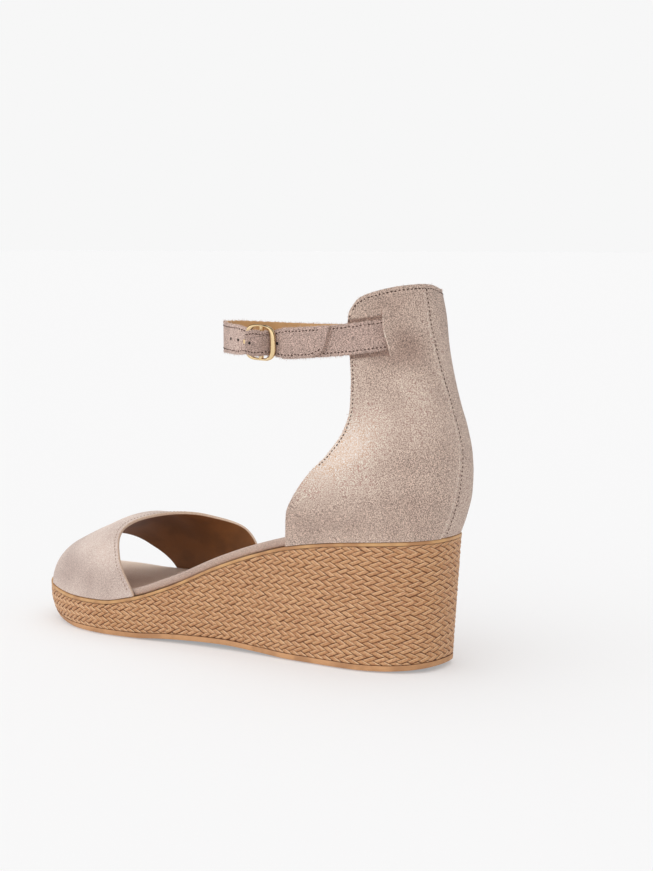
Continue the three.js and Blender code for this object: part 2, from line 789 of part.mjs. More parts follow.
// Prong: an eye round the bar and a flat arm whose tip rests on the ring's front end.
function bucklePlate(outline, halfWidth) {
  const rings = [-halfWidth, halfWidth].map((up) =>
    outline.map(([along, out]) => onLoop(barAlong + along, out, up)),
  );
  return solidOf(tube(rings, false));
}
function bucklePronged(margin) {
  const inner = barRadius + clearance;
  const eye = inner + prongThickness * 0.65 + margin;
  const circle = (radius) =>
    Array.from({ length: 20 }, (_, i) => {
      const angle = (Math.PI * i) / 10;
      return [radius * Math.cos(angle), barOut + radius * Math.sin(angle)];
    });
  const ringTop = barOut + (strapThickness + 2 * clearance) * ringRows[4].lift + ringThickness / 2;
  const low = ringTop + clearance - margin;
  const high = ringTop + clearance + prongThickness + margin;
  const tip = halfRing - ringEnd / 4 + margin;
  const arm = [
    [-inner / 2 - margin, low],
    [tip, low],
    [tip + prongThickness / 4, (low + high) / 2],
    [tip - prongThickness / 2, high],
    [-inner / 2 - margin, high],
  ];
  const halfWidth = prongWidth / 2 + margin;
  const body = bucklePlate(circle(eye), halfWidth).add(bucklePlate(arm, halfWidth));
  return margin > 0 ? body : body.subtract(bucklePlate(circle(inner), halfWidth * 2));
}

const shortStrap = strap(buckleStrapPath(), 0);
const shortRoom = strap(buckleStrapPath(), clearance);
const longStrap = strap(ankleStrapPath(), 0);
const longRoom = strap(ankleStrapPath(), clearance);
const prongRoom = bucklePronged(clearance);

const suede = { color: 0xb9a596, roughness: 0.95, metalness: 0 };
const brass = { color: 0xc9a45c, roughness: 0.3, metalness: 1 };
const pieces = [
  ["outsole", outsole(), { color: 0x4a3a2c, roughness: 0.8, metalness: 0 }],
  ["wedge", wedge(), { color: 0xc08a52, roughness: 0.7, metalness: 0 }],
  ["insole", insole(), { color: 0xbfaa9b, roughness: 0.95, metalness: 0 }],
  ["vamp", vamp(), suede],
  ["quarter", geometryOf(quarter().subtract(shortRoom).subtract(longRoom)), suede],
  ["buckle_strap", geometryOf(shortStrap.subtract(prongRoom)), suede],
  ["ankle_strap", geometryOf(longStrap.subtract(prongRoom)), suede],
  ["buckle_frame", geometryOf(buckleFrame()), brass],
  ["buckle_prong", geometryOf(bucklePronged(0)), brass],
];

const sandal = new THREE.Group();
for (const [name, geometry, look] of pieces) {
  const mesh = new THREE.Mesh(geometry, new THREE.MeshStandardMaterial(look));
  mesh.name = name;
  mesh.position.set(0, -heelSpot, 0);
  sandal.add(mesh);
}

export default sandal;
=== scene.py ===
import math

import bpy
import numpy as np
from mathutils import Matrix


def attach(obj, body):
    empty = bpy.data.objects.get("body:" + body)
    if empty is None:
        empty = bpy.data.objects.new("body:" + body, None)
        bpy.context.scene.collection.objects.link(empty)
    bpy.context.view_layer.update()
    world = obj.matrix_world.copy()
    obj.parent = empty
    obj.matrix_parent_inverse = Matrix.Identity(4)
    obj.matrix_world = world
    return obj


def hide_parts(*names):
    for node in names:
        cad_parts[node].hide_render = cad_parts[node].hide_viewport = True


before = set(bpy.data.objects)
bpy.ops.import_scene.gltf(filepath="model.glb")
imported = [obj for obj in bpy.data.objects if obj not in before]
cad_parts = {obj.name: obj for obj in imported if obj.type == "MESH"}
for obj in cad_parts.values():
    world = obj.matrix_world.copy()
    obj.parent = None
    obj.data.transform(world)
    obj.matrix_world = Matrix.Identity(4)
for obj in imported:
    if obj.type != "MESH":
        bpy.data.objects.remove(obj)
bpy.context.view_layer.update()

# Wedge: a moulded tan block with a smooth rim line at the top and a smooth band at the foot. The
# woven face between them lies a little deeper and carries the braid. Sizes are in millimetres
# from the back of the heel, and each mesh is put into the frame's metres when it is made.
MILLIMETRE = 0.001
HEEL_SPOT = 56.0
SOLE_LENGTH = 246.0
HEEL_WIDTH = 60.0
WAIST_WIDTH = 57.2
BALL_WIDTH = 84.0
HEEL_HEIGHT = 64.2
PLATFORM_HEIGHT = 18.0
TOE_SPRING = 4.2
ARCH_LIFT = 2.0
HEEL_BEVEL = 2.0
WEDGE_FOOT = 0.6
BAND_HEIGHT = 2.7
RIM_LINE = 1.6
WEAVE_DEPTH = 0.6
WALL_TAPER = 5.0
STEP_SLOPE = 0.2
RIM_ROUND = 0.35
CLEARANCE = 0.3
OUTSOLE_INSET = 2.6
OUTSOLE_THICKNESS = 2.4

outline_rows = dict(
    at=[0.012, 0.05, 0.13, 0.28, 0.42, 0.55, 0.66, 0.77, 0.87, 0.945, 0.985],
    lateral=[0.208, 0.366, 0.48, 0.508, 0.542, 0.405, 0.463, 0.498, 0.443, 0.334, 0.19],
    medial=[0.247, 0.387, 0.477, 0.453, 0.458, 0.355, 0.443, 0.492, 0.481, 0.388, 0.262],
    of=[HEEL_WIDTH] * 4 + [WAIST_WIDTH] + [BALL_WIDTH] * 6,
)
TOE_SHIFT = 0.083 * BALL_WIDTH
side_rows = dict(
    at=[0, 0.05, 0.1, 0.16, 0.3, 0.38, 0.47, 0.6, 0.68, 0.75, 0.84, 0.92, 1],
    rise=[1, 0.985, 0.968, 0.943, 0.831, 0.712, 0.535, 0.223, 0.078, 0.009, 0, 0, 0],
    spring=[0, 0, 0, 0, 0, 0, 0, 0, 0, 0, 0, 0.33, 0.9],
    arch=[0, 0, 0, 0, 0, 0.5, 1, 0.62, 0, 0, 0, 0, 0],
    bevel=[1, 0.42, 0.1, 0, 0, 0, 0, 0, 0, 0, 0, 0, 0],
    taper=[0.8, 0.68, 0.5, 0.36, 0.3, 0.3, 0.3, 0.3, 0.34, 0.42, 0.5, 0.7, 0.9],
    tuck=[1, 1, 1, 1, 1, 1, 1.1, 1.3, 1.6, 1.8, 2.6, 3, 3.5],
    pad=[1, 1, 1, 1, 1, 1, 1, 0.97, 0.88, 0.78, 0.72, 0.72, 0.72],
)


def look(table, column, at):
    """Cubic through a table's column: weighted harmonic mean slopes, level at its turning rows."""
    x = np.asarray(table["at"], float)
    y = np.asarray(table[column], float)
    span = np.diff(x)
    slope = np.diff(y) / span
    tangent = np.concatenate([slope[:1], np.zeros(len(x) - 2), slope[-1:]])
    first = 2 * span[1:] + span[:-1]
    second = span[1:] + 2 * span[:-1]
    same = slope[:-1] * slope[1:] > 0
    left = np.where(same, slope[:-1], 1)
    right = np.where(same, slope[1:], 1)
    tangent[1:-1] = np.where(same, (first + second) / (first / left + second / right), 0)
    at = np.clip(at, x[0], x[-1])
    i = np.clip(np.searchsorted(x, at, side="right") - 1, 0, len(x) - 2)
    t = (at - x[i]) / span[i]
    return (
        (2 * t**3 - 3 * t**2 + 1) * y[i]
        + (t**3 - 2 * t**2 + t) * span[i] * tangent[i]
        + (3 * t**2 - 2 * t**3) * y[i + 1]
        + (t**3 - t**2) * span[i] * tangent[i + 1]
    )


def rounded(points, closed, samples=40):
    """Centripetal Catmull-Rom curve: knots apart by the square root of the chord between points."""
    if closed:
        before, after = np.roll(points, 1, 0), np.roll(points, -1, 0)
        beyond = np.roll(points, -2, 0)
    else:
        head, tail = 2 * points[0] - points[1], 2 * points[-1] - points[-2]
        whole = np.vstack([head, points, tail])
        before, points, after, beyond = whole[:-3], whole[1:-2], whole[2:-1], whole[3:]
    knots = [np.zeros(len(points))]
    for a, b in ((before, points), (points, after), (after, beyond)):
        knots.append(knots[-1] + np.maximum(np.linalg.norm(b - a, axis=1), 1e-6) ** 0.5)
    t0, t1, t2, t3 = (k[:, None, None] for k in knots)
    t = t1 + (t2 - t1) * np.linspace(0, 1, samples, endpoint=False)[None, :, None]
    p0, p1, p2, p3 = (p[:, None, :] for p in (before, points, after, beyond))
    a1 = ((t1 - t) * p0 + (t - t0) * p1) / (t1 - t0)
    a2 = ((t2 - t) * p1 + (t - t1) * p2) / (t2 - t1)
    a3 = ((t3 - t) * p2 + (t - t2) * p3) / (t3 - t2)
    b1 = ((t2 - t) * a1 + (t - t0) * a2) / (t2 - t0)
    b2 = ((t3 - t) * a2 + (t - t1) * a3) / (t3 - t1)
    curve = (((t2 - t) * b1 + (t - t1) * b2) / (t2 - t1)).reshape(-1, before.shape[1])
    return curve if closed else np.vstack([curve, after[-1:]])


def lengths(line):
    """Distance along a line of points, from its start to each of them."""
    return np.concatenate([[0], np.cumsum(np.linalg.norm(np.diff(line, axis=0), axis=1))])


def sampled(at, arc, field):
    """Columns of a field read at distances along its arc, straight between its rows."""
    return np.stack([np.interp(at, arc, column) for column in field.T], -1)


def unit(vectors):
    """Vectors divided by their length."""
    return vectors / np.maximum(np.linalg.norm(vectors, axis=-1, keepdims=True), 1e-9)


def outline():
    """Closed rim outline from the heel round the lateral side to the toe and back."""
    width = np.array(outline_rows["of"])
    along = np.array(outline_rows["at"]) * SOLE_LENGTH
    lateral = np.stack([-np.array(outline_rows["lateral"]) * width, along], 1)
    medial = np.stack([np.array(outline_rows["medial"]) * width, along], 1)
    points = np.vstack([[0, 0], lateral, [TOE_SHIFT, SOLE_LENGTH], medial[::-1]])
    curve = rounded(points, True)
    return np.roll(curve, -int(curve[:, 1].argmin()), axis=0)


rim = outline()
toe_index = int(rim[:, 1].argmax())
rim_closed = np.vstack([rim, rim[:1]])
rim_arc = lengths(rim_closed)
rim_length = rim_arc[-1]
rim_tangent = unit(np.roll(rim, -1, 0) - np.roll(rim, 1, 0))
rim_tangent = np.vstack([rim_tangent, rim_tangent[:1]])


def rim_at(arc):
    """Point and inward direction of the rim at a distance round it from the heel."""
    arc = np.mod(arc, rim_length)
    point = sampled(arc, rim_arc, rim_closed)
    along = unit(sampled(arc, rim_arc, rim_tangent))
    return point, np.stack([along[..., 1], -along[..., 0]], -1)


def edge(station, way):
    """Half width of the rim at a station, on the lateral (-1) or medial (1) side."""
    line = rim[: toe_index + 1] if way < 0 else rim_closed[toe_index:][::-1]
    return np.interp(station, line[:, 1], line[:, 0])


def middle(station):
    """Middle line of the sole at a station."""
    return (edge(station, -1) + edge(station, 1)) / 2


def side(column, station):
    """A column of the side view's table, by the station's share of the sole's length."""
    return look(side_rows, column, np.asarray(station) / SOLE_LENGTH)


def rim_height(station):
    """Top of the rim line: the platform, the climb to the heel and the toe spring."""
    climb = (HEEL_HEIGHT - PLATFORM_HEIGHT) * side("rise", station)
    return PLATFORM_HEIGHT + climb + TOE_SPRING * side("spring", station)


def sole_bottom(station):
    """Underside of the wedge: the waist's lift, the heel's bevel and the toe spring."""
    lift = ARCH_LIFT * side("arch", station) + HEEL_BEVEL * side("bevel", station)
    return lift + TOE_SPRING * side("spring", station)


def wall(arc, height, depth):
    """Point of the wedge's side: rim point moved in by the taper at that height and by a depth."""
    point, inward = rim_at(arc)
    station = point[..., 1]
    foot = sole_bottom(station) + WEDGE_FOOT
    share = np.clip((height - foot) / (rim_height(station) - foot), 0, 1)
    inset = WALL_TAPER * side("taper", station) * (1 - share) ** side("tuck", station)
    flat = point + inward * (inset + depth)[..., None]
    return np.concatenate([flat, np.broadcast_to(height, station.shape)[..., None]], -1)


def grid_faces(rows, columns, closed=False):
    """Quads of a grid of rows and columns, joined round the columns where it is closed."""
    r = np.arange(rows - 1)[:, None] * columns
    c = np.arange(columns if closed else columns - 1)[None, :]
    right = (c + 1) % columns
    return np.stack([r + c, r + right, r + columns + right, r + columns + c], -1).reshape(-1, 4)


def piece(name, points, faces, materials, slots=None, sharp=40, marks=None):
    """One mesh object in the frame's metres from points in millimetres and arrays of faces."""
    mesh = bpy.data.meshes.new(name)
    points = np.asarray(points, float).reshape(-1, 3) - [0, HEEL_SPOT, 0]
    faces = [f for f in faces if len(f)]
    corners = np.concatenate([f.ravel() for f in faces]).astype(np.int32)
    sizes = np.concatenate([np.full(len(f), f.shape[1], np.int32) for f in faces])
    mesh.vertices.add(len(points))
    mesh.vertices.foreach_set("co", (points * MILLIMETRE).astype(np.float32).ravel())
    mesh.loops.add(len(corners))
    mesh.loops.foreach_set("vertex_index", corners)
    mesh.polygons.add(len(sizes))
    mesh.polygons.foreach_set("loop_start", np.concatenate([[0], np.cumsum(sizes)[:-1]]).astype(np.int32))
    for material in materials:
        mesh.materials.append(material)
    if slots is not None:
        mesh.polygons.foreach_set("material_index", np.asarray(slots, np.int32))
    mesh.update(calc_edges=True)
    mesh.validate()
    mesh.polygons.foreach_set("use_smooth", np.ones(len(mesh.polygons), bool))
    mesh.set_sharp_from_angle(angle=math.radians(sharp))
    for mark, values in (marks or {}).items():
        layer = mesh.attributes.new(mark, "FLOAT", "POINT")
        layer.data.foreach_set("value", np.asarray(values, np.float32).ravel())
    thing = bpy.data.objects.new(name, mesh)
    bpy.context.scene.collection.objects.link(thing)
    return thing


def tone(red, green, blue):
    """Scene colour of an 8-bit screen colour."""
    share = np.array([red, green, blue]) / 255
    linear = np.where(share > 0.04045, ((share + 0.055) / 1.055) ** 2.4, share / 12.92)
    return (*linear.tolist(), 1.0)


def group(name, inputs, outputs):
    """A new shader node group with named sockets; returns it with its input and output nodes."""
    tree = bpy.data.node_groups.new(name, "ShaderNodeTree")
    for label, kind, value in inputs:
        socket = tree.interface.new_socket(label, in_out="INPUT", socket_type=kind)
        socket.default_value = value
    for label, kind in outputs:
        tree.interface.new_socket(label, in_out="OUTPUT", socket_type=kind)
    return tree, tree.nodes.new("NodeGroupInput"), tree.nodes.new("NodeGroupOutput")


def feed(tree, socket, value):
    """Links a socket to another one, or sets its value."""
    if isinstance(value, bpy.types.NodeSocket):
        tree.links.new(value, socket)
    else:
        socket.default_value = value


def mixed(tree, factor, first, second, blend="MIX"):
    """A colour mix node; each argument is a socket or a value."""
    node = tree.nodes.new("ShaderNodeMix")
    node.data_type = "RGBA"
    node.blend_type = blend
    for number, value in ((0, factor), (6, first), (7, second)):
        feed(tree, node.inputs[number], value)
    return node.outputs[2]


def ranged(tree, value, low, high, to_low=0.0, to_high=1.0):
    """A smooth map of a value from one range to another."""
    node = tree.nodes.new("ShaderNodeMapRange")
    node.interpolation_type = "SMOOTHSTEP"
    tree.links.new(value, node.inputs["Value"])
    for label, number in zip(("From Min", "From Max", "To Min", "To Max"), (low, high, to_low, to_high)):
        node.inputs[label].default_value = number
    return node.outputs["Result"]


def noise(tree, scale, detail=2.0, distortion=0.0, stretch=None):
    """Noise on Object coordinates, stretched by a Mapping node where a stretch is given."""
    coordinates = tree.nodes.new("ShaderNodeTexCoord").outputs["Object"]
    if stretch:
        mapping = tree.nodes.new("ShaderNodeMapping")
        mapping.inputs["Rotation"].default_value = stretch[0]
        mapping.inputs["Scale"].default_value = stretch[1]
        tree.links.new(coordinates, mapping.inputs["Vector"])
        coordinates = mapping.outputs["Vector"]
    node = tree.nodes.new("ShaderNodeTexNoise")
    tree.links.new(coordinates, node.inputs["Vector"])
    node.inputs["Scale"].default_value = scale
    node.inputs["Detail"].default_value = detail
    node.inputs["Distortion"].default_value = distortion
    return node.outputs["Fac"]


def finish(name, roughness, metallic=0.0, sheen=0.0, relief=0.0):
    """A material with a Principled shader, its uniform values set, and a Bump node if asked."""
    material = bpy.data.materials.new(name)
    material.use_nodes = True
    tree = material.node_tree
    shader = tree.nodes["Principled BSDF"]
    shader.inputs["Roughness"].default_value = roughness
    shader.inputs["Metallic"].default_value = metallic
    shader.inputs["Sheen Weight"].default_value = sheen
    shader.inputs["Sheen Roughness"].default_value = 0.6
    bump = None
    if relief:
        bump = tree.nodes.new("ShaderNodeBump")
        bump.inputs["Strength"].default_value = 1.0
        bump.inputs["Distance"].default_value = relief * MILLIMETRE
        tree.links.new(bump.outputs["Normal"], shader.inputs["Normal"])
    return material, tree, shader, bump


def mottled(name, light, dark, roughness, patch=90, grain=(1500, 2)):
    """Moulded rubber or smooth leather: two tones of soft blotches and a fine grain."""
    material, tree, shader, bump = finish(name, roughness, relief=0.05)
    blotch = ranged(tree, noise(tree, patch, 3), 0.35, 0.65)
    tree.links.new(mixed(tree, blotch, dark, light), shader.inputs["Base Color"])
    tree.links.new(noise(tree, *grain), bump.inputs["Height"])
    return material


rim_tan = mottled("rim_tan", tone(206, 160, 108), tone(178, 128, 84), 0.5)
band_tan = mottled("band_tan", tone(204, 153, 107), tone(178, 129, 88), 0.55)
# The woven face's dark brown is painted shade: it stands for the shadow deep in the gaps between the strands.
groove_painted_shade = mottled("groove_painted_shade", tone(112, 68, 38), tone(90, 52, 28), 0.8)

RING_POINTS = 520
ring_arc = np.linspace(0, rim_length, RING_POINTS, endpoint=False)
ring_station = rim_at(ring_arc)[0][:, 1]
foot_height = sole_bottom(ring_station) + WEDGE_FOOT
band_top = foot_height + BAND_HEIGHT
rim_top = rim_height(ring_station)
rim_foot = rim_top - RIM_LINE


def level(height, depth):
    """Ring of the wedge's side at a height, or at one for each point, and at a depth."""
    return wall(ring_arc, height, np.full(RING_POINTS, float(depth)))


def recess(height):
    """Inside of the wedge's lip, at the outsole's own inset."""
    point, inward = rim_at(ring_arc)
    depth = WALL_TAPER * side("taper", ring_station) + OUTSOLE_INSET - CLEARANCE
    return np.column_stack([point + inward * depth[:, None], height])


def spine(ring):
    """A ring drawn in to the middle line of the sole, at its own stations and heights."""
    return np.column_stack([middle(ring[:, 1]), ring[:, 1:]])


ceiling = sole_bottom(ring_station) + OUTSOLE_THICKNESS + CLEARANCE
wedge_rings = [
    spine(recess(ceiling)),
    recess(ceiling),
    recess(foot_height),
    level(foot_height, RIM_ROUND),
    level(foot_height + RIM_ROUND / 2, RIM_ROUND * 0.15),
    level(foot_height + RIM_ROUND, 0),
    level(band_top - STEP_SLOPE, 0),
    level(band_top, STEP_SLOPE / 2),
    level(band_top + STEP_SLOPE, WEAVE_DEPTH),
    *[level(band_top + (rim_foot - band_top) * share, WEAVE_DEPTH) for share in (0.2, 0.4, 0.6, 0.8)],
    level(rim_foot - STEP_SLOPE, WEAVE_DEPTH),
    level(rim_foot, STEP_SLOPE / 2),
    level(rim_foot + STEP_SLOPE, 0),
    level(rim_top - RIM_ROUND, 0),
    level(rim_top - RIM_ROUND / 3, RIM_ROUND / 3),
    level(rim_top, RIM_ROUND * 1.2),
    spine(level(rim_top, RIM_ROUND * 1.2)),
]
BAND_ROWS = 7
WOVEN_ROWS = 7
rim_rows = len(wedge_rings) - 1 - BAND_ROWS - WOVEN_ROWS
wedge_slots = np.repeat([0] * BAND_ROWS + [1] * WOVEN_ROWS + [2] * rim_rows, RING_POINTS)
wedge_body = piece(
    "wedge_body",
    np.vstack(wedge_rings),
    [grid_faces(len(wedge_rings), RING_POINTS, True)[:, ::-1]],
    [band_tan, groove_painted_shade, rim_tan],
    wedge_slots,
    sharp=50,
)
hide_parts("wedge")
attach(wedge_body, "root")

# Braid: flat strands in a two-over-two herringbone that runs level round the wedge and is cut off
# by the rim and the band. Each strand shows as a low domed lozenge, and all of them are one mesh.
ROW_HEIGHT = 2.3
BRAID_START = 3.6
STRAND_GAP = 0.02
STRAND_SHIFT = 0.022
STRAND_DRIFT = 0.07
STRAND_ALONG = 7
STRAND_ACROSS = 5
STRAND_RISE = 0.72
SHARED_GROOVE = 0.12
PINHOLE_COUNT = 260
PINHOLE_RADIUS = 0.24
PINHOLE_RISE = 0.42
PINHOLE_SIDES = 6
strand_pitch = dict(at=[0, 0.05, 0.2, 0.45, 1], pitch=[5.9, 5.8, 4.9, 4.35, 4.3])
# Turns by which the braid's columns lean for each millimetre down, at shares of the way round.
strand_lean = dict(
    at=[0, 0.1, 0.22, 0.35, 0.5, 0.75, 1],
    lean=[0.05, 0.06, 0.046, 0.03, 0.026, 0.03, 0.05],
)


def braid_places():
    """Arc length at whole braid periods: the pitch is summed round the rim and closed on itself."""
    arc = np.linspace(0, rim_length, 4000)
    pitch = look(strand_pitch, "pitch", rim_at(arc)[0][:, 1] / SOLE_LENGTH)
    pitch[-1] = pitch[0]
    turns = np.concatenate([[0], np.cumsum(np.diff(arc) * 2 / (pitch[1:] + pitch[:-1]))])
    count = round(turns[-1])
    return arc, turns * count / turns[-1], count


braid_arc, braid_turns, braid_count = braid_places()
half_rows = np.arange(-2, int(2 * HEEL_HEIGHT / ROW_HEIGHT) + 6)
columns = np.arange(2 * braid_count)
level_index, sum_index = np.meshgrid(half_rows, columns, indexing="ij")
level_index, sum_index = level_index.ravel(), sum_index.ravel()
whole = (level_index + sum_index) % 2 == 0
level_index, sum_index = level_index[whole], sum_index[whole]
first_index = (sum_index + level_index) // 2
second_index = (sum_index - level_index) // 2
rising = level_index % 4 == 0
falling = level_index % 4 == 3
used = rising | falling
first_index, second_index, rising = first_index[used], second_index[used], rising[used]
along_share = np.array([0, 0.05, 0.22, 0.5, 0.78, 0.95, 1])[None, :, None]
across_share = np.array([0, 0.12, 0.5, 0.88, 1])[None, None, :]
long_side = STRAND_GAP + (2 - 2 * STRAND_GAP) * along_share + 0 * across_share
short_side = STRAND_GAP + (1 - 2 * STRAND_GAP) * across_share + 0 * along_share
is_rising = rising[:, None, None]
first_place = first_index[:, None, None] + np.where(is_rising, long_side, 1 - short_side)
second_place = second_index[:, None, None] + np.where(is_rising, short_side, long_side)
turn_place = (first_place + second_place) / 2
height_place = BRAID_START + (first_place - second_place) * ROW_HEIGHT / 2
lean = look(strand_lean, "lean", np.mod(turn_place, braid_count) / braid_count)
turn_place = turn_place + lean * (HEEL_HEIGHT / 2 - height_place)
chance = np.random.default_rng(5)
turn_place = turn_place + chance.normal(0, STRAND_SHIFT, len(turn_place))[:, None, None]
height_place = height_place + chance.normal(0, STRAND_DRIFT, len(turn_place))[:, None, None]
arc_place = np.interp(np.mod(turn_place, braid_count), braid_turns, braid_arc)
crown = (1 - np.abs(2 * along_share - 1) ** 6) ** 0.6 * (1 - np.abs(2 * across_share - 1) ** 5) ** 0.6
crown = crown * (1 - 0.5 * along_share * (1 - across_share)) + 0 * turn_place
# Half of each long edge lies against the next strand of the same row, where the groove is shallow.
beside_next = np.where(is_rising, across_share - 0.5, 0.5 - across_share) * (along_share - 0.5) > 0.04
crown = np.where(beside_next, np.maximum(crown, SHARED_GROOVE), crown)
station_place = rim_at(arc_place)[0][..., 1]
lowest = sole_bottom(station_place) + WEDGE_FOOT + BAND_HEIGHT + STEP_SLOPE
highest = rim_height(station_place) - RIM_LINE - STEP_SLOPE
inside = (height_place > lowest) & (height_place < highest)
kept = inside.sum(axis=(1, 2)) > 6
strand_tone = chance.random(len(kept))[:, None, None] + 0 * crown
strand_lift = chance.uniform(0.82, 1.0, len(kept))[:, None, None]
crown = np.where(inside, crown, 0.35 * crown)
height_place = np.clip(height_place, lowest, highest)
strand_points = wall(arc_place, height_place, WEAVE_DEPTH + 0.02 - STRAND_RISE * strand_lift * crown)[kept]
strand_count = len(strand_points)
one_strand = grid_faces(STRAND_ALONG, STRAND_ACROSS)
strand_faces = (
    np.arange(strand_count)[:, None, None] * STRAND_ALONG * STRAND_ACROSS + one_strand[None]
).reshape(-1, 4)


def marked(tree, name):
    """Value of a piece's own attribute at each point."""
    node = tree.nodes.new("ShaderNodeAttribute")
    node.attribute_name = name
    return node.outputs["Fac"]


def straw():
    """Tan strands: a tone for each strand, blotches and flecks, a painted highlight on the lit edge and
    painted shade on the low edge and round the rims.
    """
    material, tree, shader, bump = finish("straw_tan", 0.5, relief=0.06)
    base = mixed(tree, marked(tree, "strand"), tone(198, 147, 99), tone(212, 164, 119))
    blotch = ranged(tree, noise(tree, 60, 3), 0.35, 0.7, 0.0, 0.45)
    fleck = ranged(tree, noise(tree, 1100, 4), 0.46, 0.6, 0.0, 0.6)
    # Painted highlight along each strand's upper edge and painted shade along its lower edge.
    lit_edge = ranged(tree, marked(tree, "across"), 0.04, 0.3, 0.75, 0.0)
    low_edge_shade = ranged(tree, marked(tree, "across"), 0.66, 1.0, 0.0, 0.6)
    layers = (
        (blotch, tone(192, 141, 97)),
        (fleck, tone(166, 106, 70)),
        (lit_edge, tone(252, 216, 174)),
        (low_edge_shade, tone(140, 92, 56)),
    )
    for share, colour in layers:
        base = mixed(tree, share, base, colour)
    # Painted shade round each strand's rim, where its dome falls away.
    rim_shade = ranged(tree, marked(tree, "dome"), 0.05, 0.5)
    tree.links.new(mixed(tree, rim_shade, tone(124, 76, 42), base), shader.inputs["Base Color"])
    tree.links.new(noise(tree, 900, 3), bump.inputs["Height"])
    return material


braid = piece(
    "braid",
    strand_points,
    [strand_faces],
    [straw()],
    sharp=180,
    marks=dict(strand=strand_tone[kept], dome=crown[kept], across=(across_share + 0 * crown)[kept]),
)
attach(braid, "root")


def circle(count):
    """Angles at even steps once round."""
    return np.linspace(0, 2 * np.pi, count, endpoint=False)


def plain(name, colour, roughness, metallic=0.0):
    """A material of one even colour."""
    material, _, shader, _ = finish(name, roughness, metallic)
    shader.inputs["Base Color"].default_value = colour
    return material


def pinholes(count, radius):
    """Painted shade of small pits where strands meet: flat dark discs on a few of the strands' corners."""
    chosen = chance.choice(np.flatnonzero(kept), count, replace=False)
    turn = circle(PINHOLE_SIDES)
    arc = arc_place[chosen, 0, 0][:, None] + radius * np.cos(turn)
    height = height_place[chosen, 0, 0][:, None] + radius * np.sin(turn)
    pits = wall(arc, height, np.full(arc.shape, WEAVE_DEPTH - PINHOLE_RISE))
    fans = PINHOLE_SIDES * np.arange(count)[:, None] + np.arange(PINHOLE_SIDES)[None]
    return piece("braid_pinholes", pits, [fans], [plain("pit_painted_shade", tone(62, 36, 20), 0.95)], sharp=180)


pit_holes = pinholes(PINHOLE_COUNT, PINHOLE_RADIUS)
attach(pit_holes, "root")


# Outsole: the dark rubber sheet let into the wedge. The solid keeps its shape and gets a plain
# matt finish.
def refinished(node, material):
    """Gives a solid that keeps its own shape a material."""
    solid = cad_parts[node]
    solid.data.materials.clear()
    solid.data.materials.append(material)


outsole_rubber, rubber_tree, rubber_shader, rubber_bump = finish("outsole_rubber", 0.85, relief=0.1)
rubber_tone = mixed(rubber_tree, noise(rubber_tree, 200, 3), tone(58, 42, 30), tone(74, 56, 42))
rubber_tree.links.new(rubber_tone, rubber_shader.inputs["Base Color"])
rubber_tree.links.new(noise(rubber_tree, 700, 2), rubber_bump.inputs["Height"])
refinished("outsole", outsole_rubber)

# Insole: a board covered with suede, turned down over its edge, with a shallow cup on top.
INSOLE_INSET = 2.9
INSOLE_HEIGHT = 4.7
INSOLE_CUP = 0.8
INSOLE_SOFT = 1.2


def worked(tree, operation, *values):
    """A math node on sockets or values."""
    node = tree.nodes.new("ShaderNodeMath")
    node.operation = operation
    for socket, value in zip(node.inputs, values):
        feed(tree, socket, value)
    return node.outputs[0]


def nap_group():
    """Suede nap: the way the fibres lie, which also carries painted light and shade, plus soft streaks picks
    the tone, under a fine grain.
    """
    tree, given, result = group(
        "suede_nap",
        [
            ("Light", "NodeSocketColor", tone(206, 181, 166)),
            ("Dark", "NodeSocketColor", tone(172, 146, 131)),
            ("Patches", "NodeSocketFloat", 0.5),
            ("Grain", "NodeSocketFloat", 0.3),
            ("Lay_and_shade", "NodeSocketFloat", 0.5),
        ],
        [("Colour", "NodeSocketColor"), ("Height", "NodeSocketFloat")],
    )
    streak = noise(tree, 30, 4, 0.8, ((0.3, 0.5, 0.6), (1.0, 1.0, 0.55)))
    centred = worked(tree, "SUBTRACT", streak, 0.5)
    patch = worked(tree, "MULTIPLY_ADD", centred, given.outputs["Patches"], given.outputs["Lay_and_shade"])
    ground = mixed(tree, patch, given.outputs["Dark"], given.outputs["Light"])
    grain = noise(tree, 3000, 2, 0.2)
    speck = ranged(tree, grain, 0.42, 0.58)
    speckled = mixed(tree, given.outputs["Grain"], ground, speck, "OVERLAY")
    tree.links.new(speckled, result.inputs["Colour"])
    tree.links.new(grain, result.inputs["Height"])
    return tree


suede_nap = nap_group()


def suede(name, light, dark, patches, grain, relief=0.14, nap_and_shade=None):
    """A suede material: its two tones, streaks and grain; how the nap lies, with painted light and shade, may
    come from an attribute.
    """
    material, tree, shader, bump = finish(name, 0.95, sheen=0.12, relief=relief)
    nap = tree.nodes.new("ShaderNodeGroup")
    nap.node_tree = suede_nap
    for label, value in (("Light", light), ("Dark", dark), ("Patches", patches), ("Grain", grain)):
        nap.inputs[label].default_value = value
    if nap_and_shade:
        tree.links.new(marked(tree, nap_and_shade), nap.inputs["Lay_and_shade"])
    tree.links.new(nap.outputs["Colour"], shader.inputs["Base Color"])
    tree.links.new(nap.outputs["Height"], bump.inputs["Height"])
    return material


insole_edge = suede("insole_edge", tone(206, 182, 168), tone(168, 143, 130), 0.8, 0.25)
insole_suede = suede("insole_suede", tone(255, 233, 214), tone(198, 161, 139), 0.5, 0.12, 0.14, "nap_and_shade")


def insole_ring(extra, low, high=None, share=0.0):
    """Ring of the insole: inset, height over the rim or drop from its top, draw to the spine."""
    point, inward = rim_at(ring_arc)
    flat = point + inward * (INSOLE_INSET + extra)
    across = flat[:, 0] + (middle(ring_station) - flat[:, 0]) * share
    lift = low if high is None else INSOLE_HEIGHT * side("pad", ring_station) - high
    return np.column_stack([across, flat[:, 1], rim_top + lift])


